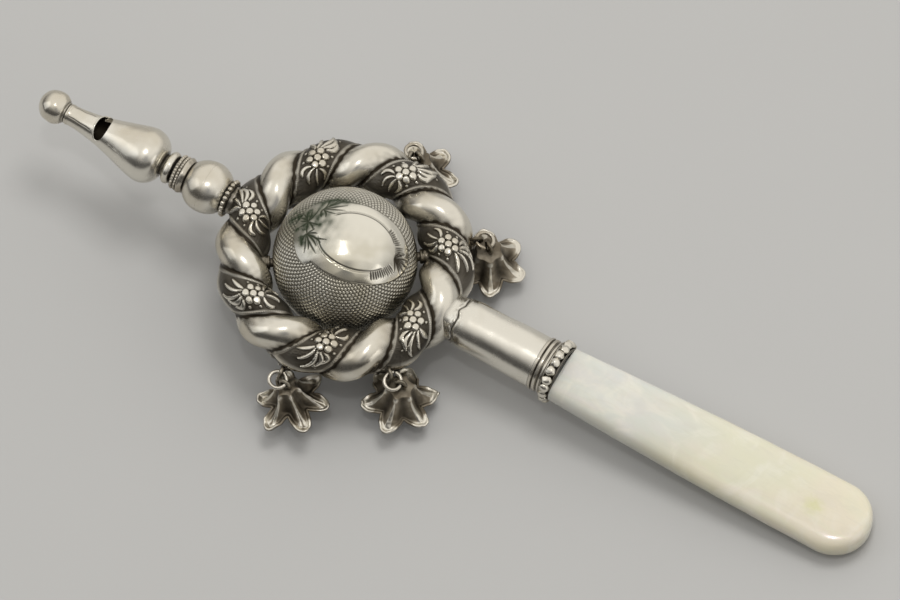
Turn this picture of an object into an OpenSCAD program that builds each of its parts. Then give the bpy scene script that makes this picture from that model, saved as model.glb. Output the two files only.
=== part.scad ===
// Silver baby rattle with a whistle, a rope-twist ring round a turning ball, four flower
// bells and a mother-of-pearl handle. It lies on its ball and on the end of its handle.
// Each piece is drawn about the ball's centre, with +X along the handle and the ring in
// the XY plane, and lie() lays it down.

/* [Ball] */
// Outer diameter of the hollow ball
ball_d = 25.3; // [25:0.1:25.5]
// Thickness of the ball's silver
ball_wall = 0.6; // [0.5:0.1:0.8]
// Diameter of the wire the ball turns on
pin_d = 1.6; // [1.4:0.1:1.8]
// Diameter of a pellet of shot
shot_d = 3; // [2:0.25:3]

/* [Rope ring] */
// Radius from the ball's centre to the middle of the rope
ring_r = 17.9; // [17.9:0.1:18.2]
// Radius of the rope over a strand's crest
rope_r = 4.85; // [4.7:0.05:4.85]
// How far a strand's middle lies from the middle of the rope
strand_offset = 1.15; // [0.9:0.05:1.2]
// Turns that each of the two strands makes round the ring
rope_turns = 7; // [7:1:7]
// Angle from the handle to a crest of the flowered strand
rope_phase = 32.6; // [30:0.2:34]
// Radius of the hollow inside the rope
hollow_r = 2.9; // [2.7:0.1:3]

/* [Whistle] */
// Distance from the ball's centre to the middle of the mouthpiece knob
knob_at = 58.1; // [57.8:0.1:58.4]
// Diameter of the mouthpiece knob
knob_d = 5.9; // [5.6:0.1:6.2]
// Radius of the neck next to the knob
neck_r = 1.83; // [1.8:0.01:1.9]
// Largest radius of the pear-shaped bulb
bulb_r = 5; // [4.8:0.1:5.2]
// Diameter of the hollow knop below the whistle
knop_d = 9.4; // [9.2:0.1:9.6]

/* [Handle] */
// Distance from the ball's centre to the tip of the handle
handle_tip = 103.9; // [100:0.5:110]
// Width of the handle at its collar
handle_start_w = 10.3; // [9.8:0.1:10.6]
// Greatest width of the handle
handle_w = 13.6; // [12.5:0.1:14.5]
// Thickness of the handle
handle_t = 5.4; // [4.6:0.1:5.8]

/* [Ferrule] */
// Radius of the ferrule at its collar
ferrule_r = 4.75; // [4.6:0.05:4.8]
// Number of beads round the collar
collar_beads = 20; // [18:1:20]

/* [Bells] */
// Radius of a bell at a petal's tip
petal_r = 6.7; // [6.3:0.1:6.8]
// Height of a bell from crown to rim
bell_h = 5.4; // [5.2:0.1:5.6]
// Radius of the middle of a jump ring's wire
jump_r = 1.5; // [1.5:0.05:1.6]
// Radius of a jump ring's wire
jump_wire = 0.33; // [0.3:0.01:0.34]

/* [Hidden] */

SILVER = [0.80, 0.78, 0.73];
DARK_SILVER = [0.36, 0.33, 0.28];
PEARL = [0.90, 0.88, 0.80];
FINE = 96;
SMALL = 48;
EPS = 0.01;
CUT = 40;

// How the rattle lies: on the ball, and on the rounded end of the handle
ball_r = ball_d / 2;
handle_half_t = handle_t / 2;
handle_edge = 1.9;
handle_flat = handle_half_t - handle_edge;
rest_x = handle_tip - handle_edge;
tilt = asin((ball_r - handle_edge) / norm([rest_x, handle_flat])) - atan2(handle_flat, rest_x);
reach_x = rest_x * cos(tilt) + handle_flat * sin(tilt) + handle_edge;
mid_x = (reach_x - knob_at * cos(tilt) - knob_d / 2) / 2;
mid_y = -0.72;
down = [sin(tilt), 0, -cos(tilt)];

// Ball, pin and shot
ball_in = ball_r - ball_wall;
pin_r = pin_d / 2;
pin_run = 0.08;
pin_dir = [cos(rope_phase), sin(rope_phase), 0];
boss_r = 1.3;
boss_from = ball_r + 0.3;
boss_to = ring_r - 1.5;
shot_r = shot_d / 2;
shot_play = 0.2;
shot_pitch = 4;

// Rope
strand_r = rope_r - strand_offset;
ROPE_STEPS = 98;
ROUND_STEPS = 14;
HOLLOW_STEPS = 5;

// Whistle stations, each a distance from the ball's centre
silver_wall = 0.5;
neck_end = 55.6;
bulb_at = 39.8;
bulb_end = 36.3;
lip_at = 47.5;
window_r = 2.1;
window_back = 49.6;
plug_end = 50;
reel_from = 33.7;
reel_at = 34.9;
reel_r = 2.95;
reel_neck_r = 1.9;
milled_from = 32.3;
milled_r = 3.25;
mill_teeth = 32;
cup_from = 31;
knop_at = 27.5;
knop_from = 23.7;
knop_r = knop_d / 2;
flange_from = 22.7;
seat_from = 20.8;
bead_r = 0.47;
bead_circle_r = 3.05;
bead_count = 20;
seat_r = 2.5;

// Ferrule stations
ferrule_from = 20.4;
cement_from = 23.6;
shoulder_at = 25.5;
shoulder_r = 3.7;
ferrule_to = 39;
band_to = 41.2;
collar_to = 43.4;
collar_bead_r = 0.82;
collar_circle_r = 5.28;
tang_from = 24;
tang_w = 6.4;
tang_t = 3.4;

// Bells: a staple on the rope, a jump ring through it, and the bell's own loop
bell_angle = [-40, -88, 91, 39];
staple_drop = [0, 19, 18, 0];
jump_pitch = [15, 14, 14, 15];
thread_angle = [50, 86, -110, -70];
bell_side = [-15, -14, 9, 12];
bell_lean = [8, 16, 2, 6];
bell_turn = [29, 21, 32, 38];
clapper_lean = [-9, -4, -4, -9];
staple_r = 0.9;
staple_wire = 0.3;
staple_gap = 0.75;
loop_r = 0.9;
crown_drop = 1.2;
crown_r = 2.1;
valley_r = 4.2;
crown_ridge = 0.3;
bell_wall_r = 0.3;
bell_wall_z = 0.35;
rim_lift = 0.8;
PETALS = 6;
PETAL_STEPS = 8;
BELL_STEPS = 8;
eye_r = 0.55;
eye_wire = 0.2;
eye_drop = 2.9;
clapper_ball_r = 0.85;
clapper_len = 2.8;

// Lays the rattle on its ball and the end of its handle, centred on the origin
module lie() {
    translate([-mid_x, -mid_y, ball_r]) rotate([0, tilt, 0]) children();
}

// A turned shape on the whistle's side: radius across, distance from the ball's centre up
module turned_whistle(outline) {
    lie() rotate([0, -90, 0]) rotate_extrude($fn = FINE) polygon(outline);
}

// A turned shape on the handle's side
module turned_handle(outline) {
    lie() rotate([0, 90, 0]) rotate_extrude($fn = FINE) polygon(outline);
}

module wire_ring(mid_r, wire_r) {
    rotate_extrude($fn = SMALL) translate([mid_r, 0]) circle(r = wire_r, $fn = 24);
}

function smooth(t) = t * t * (3 - 2 * t);
function blend(a, b, t) = a + (b - a) * smooth(min(max(t, 0), 1));

// Whistle ---------------------------------------------------------------------------

// Radius of the whistle's outside: a neck that opens into the bulb, and the bulb's end
function barrel_r(s) =
    s > bulb_at
    ? blend(bulb_r, neck_r, pow((s - bulb_at) / (neck_end - bulb_at), 0.72))
    : reel_neck_r + (bulb_r - reel_neck_r) * sqrt(1 - pow((bulb_at - s) / (bulb_at - bulb_end), 2));

BARREL = [for (i = [0:24]) bulb_end + (neck_end - bulb_end) * pow(i / 24, 1.3)];

module whistle_barrel() {
    inner_from = bulb_end + silver_wall;
    outer = [for (s = BARREL) [barrel_r(s), s]];
    bore = [for (s = BARREL) if (s > inner_from + EPS) [barrel_r(s) - silver_wall, s]];
    color(SILVER) difference() {
        turned_whistle(concat([[0, bulb_end]], outer, [[0, neck_end]]));
        turned_whistle(concat([[0, inner_from]], bore, [[0, neck_end]]));
        window_cut();
    }
}

// The sound window: straight at the lip and round at the windway
module window_cut() {
    lie() intersection() {
        translate([-lip_at - window_r / 2, 0, 0]) cylinder(r = window_r, h = bulb_r, $fn = SMALL);
        translate([-window_back, -CUT / 2, 0]) cube([window_back - lip_at, CUT, CUT]);
    }
}

// Fills the neck behind the window, all but a flat windway along its top
module fipple_plug() {
    play = 0.03;
    windway_z = 0.75;
    stations = [for (s = BARREL) if (s > plug_end) s];
    side = [for (s = stations) [barrel_r(s) - silver_wall - play, s]];
    color(DARK_SILVER) difference() {
        turned_whistle(concat([[0, stations[0]]], side, [[0, neck_end]]));
        lie() translate([-CUT * 2, -CUT / 2, windway_z]) cube([CUT * 2, CUT, CUT]);
    }
}

module mouthpiece_knob() {
    blow_r = 0.7;
    color(SILVER) lie() translate([-knob_at, 0, 0]) difference() {
        sphere(d = knob_d, $fn = FINE);
        translate([knob_at - neck_end, -CUT / 2, -CUT / 2]) cube(CUT);
        rotate([0, 90, 0]) cylinder(r = blow_r, h = CUT, center = true, $fn = SMALL);
    }
}

// A short neck with a half-round ring
module reel_collar() {
    bead = 0.85;
    arc = [for (a = [-90:15:90]) [reel_r - bead + bead * cos(a), reel_at + bead * sin(a)]];
    outer = concat([[0, reel_from], [reel_neck_r, reel_from]], arc);
    color(SILVER) turned_whistle(concat(outer, [[reel_neck_r, bulb_end], [0, bulb_end]]));
}

module milled_ring() {
    tooth = 0.22;
    height = reel_from - milled_from;
    outline = [for (i = [0:2 * mill_teeth - 1])
        (milled_r - (i % 2) * tooth) * [cos(180 * i / mill_teeth), sin(180 * i / mill_teeth)]];
    color(SILVER) lie() translate([-milled_from, 0, 0]) rotate([0, -90, 0])
        linear_extrude(height) polygon(outline);
}

module cup_ring() {
    low_r = 2.6;
    color(SILVER) turned_whistle([[0, cup_from], [low_r, cup_from], [milled_r + 0.1, milled_from - 0.4],
        [milled_r + 0.1, milled_from], [0, milled_from]]);
}

// One stamped half of the knop, between two stations
module knop_half(from, to) {
    color(SILVER) lie() rotate([0, -90, 0]) rotate_extrude($fn = FINE) intersection() {
        translate([0, knop_at]) difference() {
            circle(r = knop_r, $fn = FINE);
            circle(r = knop_r - silver_wall, $fn = FINE);
        }
        translate([0, from]) square([CUT, to - from]);
    }
}

module knop_upper() { knop_half(knop_at, cup_from); }
module knop_lower() { knop_half(knop_from, knop_at); }

// A flange with round beads on its edge, on either side of the ball
module beaded(from, to, flange_r, circle_r, radius, count, side) {
    middle = (from + to) / 2;
    color(SILVER) lie() rotate([0, side * 90, 0]) union() {
        translate([0, 0, from]) cylinder(r = flange_r, h = to - from, $fn = FINE);
        for (i = [0:count - 1]) rotate([0, 0, 360 * (i + 0.5) / count])
            translate([circle_r, 0, middle]) sphere(r = radius, $fn = 32);
    }
}

module bead_ring() {
    beaded(flange_from, knop_from, bead_circle_r - 0.2, bead_circle_r, bead_r, bead_count, -1);
}

// Seats the whistle's end on the rope
module ring_cup() {
    color(SILVER) turned_whistle([[0, seat_from], [seat_r - 0.4, seat_from], [seat_r, flange_from - 0.5],
        [seat_r, flange_from], [0, flange_from]]);
}

// Rope ring -------------------------------------------------------------------------

// Radius of the twisted rope at an angle round the ring and an angle round the rope
function rope_radius(around, across) =
    let (turn = across - 90 - rope_turns * (around - rope_phase))
    strand_offset * abs(cos(turn)) + sqrt(pow(strand_r, 2) - pow(strand_offset * sin(turn), 2));

function on_ring(around, across, radius) =
    let (out = ring_r + radius * cos(across))
    [out * cos(around), out * sin(around), radius * sin(across)];

// Half the rope as a stamped shell, on the side that upward says
module rope_half(upward) {
    spin = (360 / ROPE_STEPS);
    start = rope_phase;
    sections = [for (i = [0:ROPE_STEPS - 1]) let (around = start + i * spin) concat(
        [for (j = [0:ROUND_STEPS]) let (across = upward * j * 180 / ROUND_STEPS)
            on_ring(around, across, rope_radius(around, across))],
        [for (j = [HOLLOW_STEPS:-1:0]) on_ring(around, upward * j * 180 / HOLLOW_STEPS, hollow_r)])];
    loop_faces(sections, upward);
}

// Joins closed outlines into a ring
module loop_faces(sections, order) {
    count = len(sections);
    size = len(sections[0]);
    points = [for (section = sections) for (point = section) point];
    faces = [for (i = [0:count - 1]) for (j = [0:size - 1])
        let (k = (i + 1) % count, n = (j + 1) % size)
        let (face = [i * size + j, k * size + j, k * size + n, i * size + n])
        order > 0 ? [face[3], face[2], face[1], face[0]] : face];
    polyhedron(points, faces, convexity = 10);
}

module ring_front() { color(SILVER) lie() rope_half(1); }
module ring_back() { color(SILVER) lie() rope_half(-1); }

// Ball ------------------------------------------------------------------------------

module ball_half(upward) {
    color(SILVER) lie() difference() {
        sphere(r = ball_r, $fn = FINE);
        sphere(r = ball_in, $fn = FINE);
        translate([-CUT / 2, -CUT / 2, upward > 0 ? -CUT : 0]) cube(CUT);
        along_pin() cylinder(r = pin_r + pin_run, h = CUT, center = true, $fn = SMALL);
    }
}

module ball_front() { ball_half(1); }
module ball_back() { ball_half(-1); }

// Turns +Z to the ball's pin
module along_pin() {
    rotate([0, 0, rope_phase]) rotate([0, 90, 0]) children();
}

module ball_pin() {
    color(DARK_SILVER) lie() along_pin()
        cylinder(r = pin_r, h = 2 * boss_to, center = true, $fn = SMALL);
}

// A sleeve in the rope's inner side that holds one end of the pin
module pin_boss(side) {
    color(DARK_SILVER) lie() along_pin() mirror([0, 0, side > 0 ? 0 : 1]) difference() {
        translate([0, 0, boss_from]) cylinder(r = boss_r, h = boss_to - boss_from, $fn = SMALL);
        cylinder(r = pin_r, h = CUT, $fn = SMALL);
    }
}

module pin_boss_near() { pin_boss(-1); }
module pin_boss_far() { pin_boss(1); }

// One pellet on the ball's floor, clear of the pin and of the others
module shot(i) {
    beside = (i - 2) * shot_pitch;
    path_r = sqrt(pow(ball_in - shot_r - shot_play, 2) - pow(beside, 2));
    fall = down - (down * pin_dir) * pin_dir;
    color(DARK_SILVER) lie() translate(beside * pin_dir + path_r * fall / norm(fall))
        sphere(r = shot_r, $fn = SMALL);
}

// Ferrule and handle ----------------------------------------------------------------

function ferrule_radius(x) = blend(shoulder_r, ferrule_r - 0.25, (x - ferrule_from) / (shoulder_at - ferrule_from))
    + blend(0, 0.25, (x - shoulder_at) / (ferrule_to - shoulder_at));

module ferrule() {
    stations = [for (i = [0:12]) ferrule_from + (ferrule_to - ferrule_from) * pow(i / 12, 1.5)];
    outer = [for (x = stations) [ferrule_radius(x), x]];
    inner = [for (i = [12:-1:0]) [ferrule_radius(stations[i]) - silver_wall, stations[i]]];
    color(SILVER) turned_handle(concat(outer, inner));
}

// A band with two turned grooves
module ferrule_band() {
    groove = 0.25;
    top = ferrule_r + 0.15;
    step = (band_to - ferrule_to) / 5;
    marks = [for (i = [0:5]) ferrule_to + i * step];
    outer = [[top, marks[0]], [top, marks[1]], [top - groove, marks[1]], [top - groove, marks[2]],
        [top, marks[2]], [top, marks[3]], [top - groove, marks[3]], [top - groove, marks[4]],
        [top, marks[4]], [top, marks[5]]];
    inner = [[ferrule_r - silver_wall, marks[5]], [ferrule_r - silver_wall, marks[0]]];
    color(SILVER) turned_handle(concat(outer, inner));
}

module ferrule_bead_ring() {
    difference() {
        beaded(band_to, collar_to, collar_circle_r - 0.25, collar_circle_r, collar_bead_r, collar_beads, 1);
        turned_handle([[0, band_to - 1], [ferrule_r - silver_wall, band_to - 1],
            [ferrule_r - silver_wall, collar_to + 1], [0, collar_to + 1]]);
    }
}

// The hard filling that holds the tang in the ferrule
module handle_cement() {
    play = 0.02;
    stations = [for (i = [0:6]) cement_from + (ferrule_to - cement_from) * i / 6];
    side = [for (x = stations) [ferrule_radius(x) - silver_wall - play, x]];
    color(DARK_SILVER) difference() {
        turned_handle(concat([[0, stations[0]]], side, [[0, ferrule_to]]));
        lie() translate([tang_from, -tang_w / 2, -tang_t / 2]) cube([CUT, tang_w, tang_t]);
    }
}

// The pearl slab's outline, drawn in by inset: it widens along its length to a round end
function handle_outline(inset) =
    let (half = handle_w / 2, end_x = handle_tip - half)
    let (side = [for (i = [0:8]) let (t = i / 8)
        [collar_to + t * (end_x - collar_to), blend_side(t) - inset]])
    let (cap = [for (a = [80:-10:0]) [end_x + (half - inset) * cos(a), (half - inset) * sin(a)]])
    let (upper = concat(side, cap))
    concat(upper, [for (i = [len(upper) - 2:-1:0]) [upper[i][0], -upper[i][1]]]);

function blend_side(t) =
    handle_start_w / 2 + (handle_w - handle_start_w) / 2 * (1 - pow(1 - t, 1.8));

// Closes a stack of outlines, lowest first, into a solid
module stack_faces(layers) {
    count = len(layers);
    size = len(layers[0]);
    points = [for (layer = layers) for (point = layer) point];
    sides = [for (i = [0:count - 2]) for (j = [0:size - 1]) let (n = (j + 1) % size)
        [i * size + j, i * size + n, (i + 1) * size + n, (i + 1) * size + j]];
    ends = [[for (j = [size - 1:-1:0]) j], [for (j = [0:size - 1]) (count - 1) * size + j]];
    polyhedron(points, concat(sides, ends), convexity = 4);
}

module handle() {
    layers = [for (a = [-90, -60, -30, 30, 60, 90])
        let (inset = handle_edge * (1 - cos(a)))
        let (height = sign(a) * handle_flat + handle_edge * sin(a))
        [for (point = handle_outline(inset)) [point[0], point[1], height]]];
    color(PEARL) lie() union() {
        stack_faces(layers);
        translate([tang_from, -tang_w / 2, -tang_t / 2]) cube([collar_to + 1 - tang_from, tang_w, tang_t]);
    }
}

// Bells -----------------------------------------------------------------------------

// Puts a child at a bell's staple, with +X outwards
module at_staple(i) {
    drop = staple_drop[i];
    reach = rope_radius(bell_angle[i], -drop) + staple_gap;
    lie() rotate([0, 0, bell_angle[i]])
        translate([ring_r + reach * cos(drop), 0, -reach * sin(drop)]) children();
}

module at_jump(i) {
    at_staple(i) rotate([0, jump_pitch[i], 0]) children();
}

// Puts a child in the middle of a bell's loop, with the bell's axis along -Z
module at_bell(i) {
    at_jump(i) translate([jump_r, 0, 0]) rotate([0, 0, thread_angle[i]])
        translate([jump_r, 0, 0]) rotate([bell_side[i], 0, 0]) rotate([0, -bell_lean[i], 0]) children();
}

module bell_staple(i) {
    color(DARK_SILVER) at_staple(i) rotate([90, 0, 0]) wire_ring(staple_r, staple_wire);
}

module jump_ring(i) {
    color(SILVER) at_jump(i) translate([jump_r, 0, 0]) wire_ring(jump_r, jump_wire);
}

// The bell's own loop, its shank through the crown, and the eye that the clapper hangs on
module bell_loop(i) {
    shank_r = 0.3;
    shank_top = loop_r;
    shank_end = eye_drop - eye_r;
    color(DARK_SILVER) at_bell(i) union() {
        rotate([90, 0, 0]) wire_ring(loop_r, jump_wire);
        translate([0, 0, -shank_end]) cylinder(r = shank_r, h = shank_end - shank_top, $fn = 24);
        translate([0, 0, -eye_drop]) rotate([90, 0, 0]) wire_ring(eye_r, eye_wire);
    }
}

// A point on the bell, at a share of the way from crown to rim and an angle round it
function bell_point(share, around, inner) =
    let (ridge = 0.5 + 0.5 * cos(PETALS * around))
    let (out = crown_r + share * (valley_r - crown_r)
        + ridge * (crown_ridge + (petal_r - valley_r - crown_ridge) * share * share))
    let (fall = (bell_h - bell_wall_z) * (1 - pow(1 - share, 1.5)) - (1 - ridge) * rim_lift * pow(share, 3))
    [(out - inner * bell_wall_r) * cos(around), (out - inner * bell_wall_r) * sin(around),
        -crown_drop - fall - inner * bell_wall_z];

module bell(i) {
    around_steps = PETALS * PETAL_STEPS;
    shares = [for (j = [0:BELL_STEPS]) j / BELL_STEPS];
    hole_r = 0.34;
    sections = [for (k = [0:around_steps - 1]) let (around = 360 * k / around_steps) concat(
        [[hole_r * cos(around), hole_r * sin(around), -crown_drop]],
        [for (share = shares) bell_point(share, around, 0)],
        [for (j = [BELL_STEPS:-1:0]) bell_point(shares[j], around, 1)],
        [[hole_r * cos(around), hole_r * sin(around), -crown_drop - bell_wall_z]])];
    color(DARK_SILVER) at_bell(i) rotate([0, 0, bell_turn[i]]) loop_faces(sections, -1);
}

// A ball on a wire that hangs from the eye inside the bell
module clapper(i) {
    color(DARK_SILVER) at_bell(i) translate([0, 0, -eye_drop]) rotate([0, clapper_lean[i], 0]) union() {
        translate([0, 0, -eye_r]) rotate([0, 90, 0]) wire_ring(eye_r, eye_wire);
        translate([0, 0, -clapper_len]) cylinder(r = eye_wire, h = clapper_len - 2 * eye_r, $fn = 24);
        translate([0, 0, -clapper_len]) sphere(r = clapper_ball_r, $fn = 32);
    }
}

mouthpiece_knob();
whistle_barrel();
fipple_plug();
reel_collar();
milled_ring();
cup_ring();
knop_upper();
knop_lower();
bead_ring();
ring_cup();
ring_front();
ring_back();
ball_front();
ball_back();
ball_pin();
pin_boss_near();
pin_boss_far();
ferrule();
ferrule_band();
ferrule_bead_ring();
handle_cement();
handle();
for (i = [1:3]) shot(i);
for (i = [1:4]) bell_staple(i - 1);
for (i = [1:4]) jump_ring(i - 1);
for (i = [1:4]) bell_loop(i - 1);
for (i = [1:4]) bell(i - 1);
for (i = [1:4]) clapper(i - 1);
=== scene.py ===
"""The looks of a silver rattle: whistle, twisted ring, turning ball, four bells and a pearl handle.

Each piece is drawn in millimetres about the ball's centre, with +X along the handle and the ring
in the XY plane, and LIE then lays it down in the part's frame, in metres.
"""
import math

import bpy
import numpy as np
from mathutils import Matrix, Vector


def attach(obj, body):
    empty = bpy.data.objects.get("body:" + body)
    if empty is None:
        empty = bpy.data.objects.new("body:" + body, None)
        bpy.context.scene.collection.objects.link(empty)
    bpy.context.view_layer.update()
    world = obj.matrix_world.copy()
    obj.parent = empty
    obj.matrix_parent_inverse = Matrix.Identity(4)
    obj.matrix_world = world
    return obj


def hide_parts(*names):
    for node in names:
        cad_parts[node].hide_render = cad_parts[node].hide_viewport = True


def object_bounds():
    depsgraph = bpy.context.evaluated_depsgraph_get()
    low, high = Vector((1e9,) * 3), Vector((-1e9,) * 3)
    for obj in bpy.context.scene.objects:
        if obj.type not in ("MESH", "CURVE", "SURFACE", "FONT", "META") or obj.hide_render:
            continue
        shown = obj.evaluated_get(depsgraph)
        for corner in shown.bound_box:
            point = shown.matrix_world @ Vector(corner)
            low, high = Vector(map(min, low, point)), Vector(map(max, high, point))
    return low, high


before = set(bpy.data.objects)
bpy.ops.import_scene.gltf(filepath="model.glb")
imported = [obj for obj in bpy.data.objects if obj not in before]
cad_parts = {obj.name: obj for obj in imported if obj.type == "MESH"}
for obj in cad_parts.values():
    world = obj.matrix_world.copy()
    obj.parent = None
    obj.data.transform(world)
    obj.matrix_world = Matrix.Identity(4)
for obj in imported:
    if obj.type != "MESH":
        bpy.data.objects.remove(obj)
cad_low, cad_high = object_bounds()

# Sizes in millimetres, as in the CAD part --------------------------------------------
BALL_R = 12.65
RING_R, ROPE_R, STRAND_OFFSET, ROPE_TURNS, ROPE_PHASE = 17.9, 4.85, 1.15, 7, 32.6
STRAND_R = ROPE_R - STRAND_OFFSET
HOLLOW_R = 2.9
PIN_R, PIN_HOLE_R = 0.8, 0.88
BOSS_R, BOSS_FROM, BOSS_TO = 1.3, BALL_R + 0.3, RING_R - 1.5
KNOB_AT, KNOB_R, NECK_R, NECK_END = 58.1, 2.95, 1.83, 55.6
BULB_R, BULB_AT, BULB_END, REEL_NECK_R = 5, 39.8, 36.3, 1.9
LIP_AT, WINDOW_BACK, WINDOW_R = 47.35, 49.85, 2.45
KNOP_AT, KNOP_R, KNOP_FROM = 27.5, 4.7, 23.7
CUP_FROM, MILLED_FROM, MILLED_TO, MILLED_R, REEL_AT = 31, 32.3, 33.7, 3.3, 34.9
AXLE_R, SHEET = 0.05, 0.5
FLANGE_FROM, SEAT_FROM, SEAT_R = 22.7, 20.8, 2.5
FERRULE_FROM, SHOULDER_AT, SHOULDER_R, FERRULE_R = 20.4, 25.5, 3.7, 4.75
FERRULE_TO, BAND_TO, COLLAR_TO, BORE_R = 39, 41.2, 43.4, 4.25
HANDLE_TIP, HANDLE_START_W, HANDLE_W, HANDLE_T, HANDLE_EDGE = 103.9, 10.3, 13.6, 5.4, 1.9
BELL_ANGLE = (-40, -88, 91, 39)
STAPLE_DROP = (0, 19, 18, 0)
JUMP_PITCH = (15, 14, 14, 15)
THREAD_ANGLE = (50, 86, -110, -70)
BELL_SIDE = (-15, -14, 9, 12)
BELL_LEAN = (8, 16, 2, 6)
BELL_TURN = (29, 21, 32, 38)
CLAPPER_LEAN = (-9, -4, -4, -9)
PETAL_R, BELL_H, JUMP_R, JUMP_WIRE = 6.7, 5.4, 1.5, 0.33
STAPLE_R, STAPLE_WIRE, STAPLE_GAP, LOOP_R = 0.9, 0.3, 0.75, 0.9
CROWN_DROP, CROWN_R, VALLEY_R, EYE_R, EYE_WIRE, EYE_DROP = 1.2, 2.1, 4.2, 0.55, 0.2, 2.9
CLAPPER_BALL_R, CLAPPER_LEN = 0.85, 2.8
PETALS = 6
TO_METRES = 0.001


# Shorthands and placing ----------------------------------------------------------------
def heading(degrees):
    """A step of 1 in that direction, in a plane."""
    return np.array([math.cos(math.radians(degrees)), math.sin(math.radians(degrees))])


def leftward(way):
    return np.array([-way[1], way[0]])


def apart(a, b):
    """Degrees between two directions."""
    return np.abs((a - b + 180) % 360 - 180)


def held(x):
    """x, kept between 0 and 1."""
    return np.clip(x, 0, 1)


def hump(x, at, width):
    """1 at that place, falling off smoothly over that width."""
    return np.exp(-(((x - at) / width) ** 2))


def across_axis(points):
    """Distance from the X axis."""
    return np.hypot(points[:, 1], points[:, 2])


def spin(axis, degrees):
    c, s = heading(degrees)
    m = np.eye(4)
    i, j = {"x": (1, 2), "y": (2, 0), "z": (0, 1)}[axis]
    m[i, i] = m[j, j] = c
    m[i, j], m[j, i] = -s, s
    return m


def shift(x, y, z):
    m = np.eye(4)
    m[:3, 3] = x, y, z
    return m


def unit(v):
    v = np.asarray(v, float)
    return v / np.linalg.norm(v)


HALF_T = HANDLE_T / 2
HANDLE_FLAT = HALF_T - HANDLE_EDGE
REST_X = HANDLE_TIP - HANDLE_EDGE
LEANING = (math.asin((BALL_R - HANDLE_EDGE) / math.hypot(REST_X, HANDLE_FLAT))
           - math.atan2(HANDLE_FLAT, REST_X))
TILT = math.degrees(LEANING)
REACH_X = REST_X * math.cos(LEANING) + HANDLE_FLAT * math.sin(LEANING) + HANDLE_EDGE
MID_X = (REACH_X - KNOB_AT * math.cos(LEANING) - KNOB_R) / 2
MID_Y = -0.72
LIE = shift(-MID_X, -MID_Y, BALL_R) @ spin("y", TILT)


def rope_radius(turn):
    """The two-strand rope's radius at an angle from a strand's crest."""
    t = np.radians(turn)
    return STRAND_OFFSET * np.abs(np.cos(t)) + np.sqrt(STRAND_R**2 - (STRAND_OFFSET * np.sin(t)) ** 2)


def at_staple(i):
    drop = math.radians(STAPLE_DROP[i])
    turn = -STAPLE_DROP[i] - 90 - ROPE_TURNS * (BELL_ANGLE[i] - ROPE_PHASE)
    reach = float(rope_radius(turn)) + STAPLE_GAP
    return LIE @ spin("z", BELL_ANGLE[i]) @ shift(RING_R + reach * math.cos(drop), 0, -reach * math.sin(drop))


def at_jump(i):
    return at_staple(i) @ spin("y", JUMP_PITCH[i])


def at_bell(i):
    loop = at_jump(i) @ shift(JUMP_R, 0, 0) @ spin("z", THREAD_ANGLE[i]) @ shift(JUMP_R, 0, 0)
    return loop @ spin("x", BELL_SIDE[i]) @ spin("y", -BELL_LEAN[i])


# Mesh building -----------------------------------------------------------------------
def quads(rows, columns, close_rows=False, close_columns=False, start=0):
    """Faces of a grid of points, row after row."""
    r = np.arange(rows if close_rows else rows - 1)[:, None]
    c = np.arange(columns if close_columns else columns - 1)[None, :]
    r2, c2 = (r + 1) % rows, (c + 1) % columns
    return start + np.stack([r * columns + c, r * columns + c2, r2 * columns + c2, r2 * columns + c],
                            -1).reshape(-1, 4)


def outward(points, faces):
    """Faces turned over if they enclose a negative volume."""
    a, b, c, d = (points[faces[:, k]] for k in range(4))
    middle = points.mean(0)
    volume = np.einsum("ij,ij->", a - middle, np.cross(b - middle, c - middle))
    volume += np.einsum("ij,ij->", a - middle, np.cross(c - middle, d - middle))
    return faces if volume > 0 else faces[:, ::-1]


def joined(parts):
    """Several (points, faces, layers) as one."""
    points, faces, count = [], [], 0
    names = sorted({n for p in parts for n in (p[2] if len(p) > 2 else {})})
    layers = {n: [] for n in names}
    for part in parts:
        pts, fcs = part[0], part[1]
        own = part[2] if len(part) > 2 else {}
        points.append(pts)
        faces.append(outward(pts, fcs) + count)
        for n in names:
            layers[n].append(np.broadcast_to(own.get(n, 0.0), (len(pts),)))
        count += len(pts)
    return np.concatenate(points), np.concatenate(faces), {n: np.concatenate(v) for n, v in layers.items()}


def carried(points, place):
    return points @ place[:3, :3].T + place[:3, 3]


def moved(part, place):
    return (carried(part[0], place), *part[1:])


def ripple(points, size, seed, layers=7):
    """Smooth noise of about -1 to 1, with swells of that size."""
    r = np.random.default_rng(seed)
    total = 0
    for _ in range(layers):
        way = unit(r.normal(size=3)) * 2 * np.pi / size * r.uniform(0.7, 1.5)
        total = total + np.sin(points.reshape(-1, 3) @ way + r.uniform(0, 2 * np.pi))
    return total.reshape(points.shape[:-1]) / layers**0.5


def linked(name, data):
    """A new object in the scene."""
    made = bpy.data.objects.new(name, data)
    bpy.context.scene.collection.objects.link(made)
    return made


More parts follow.
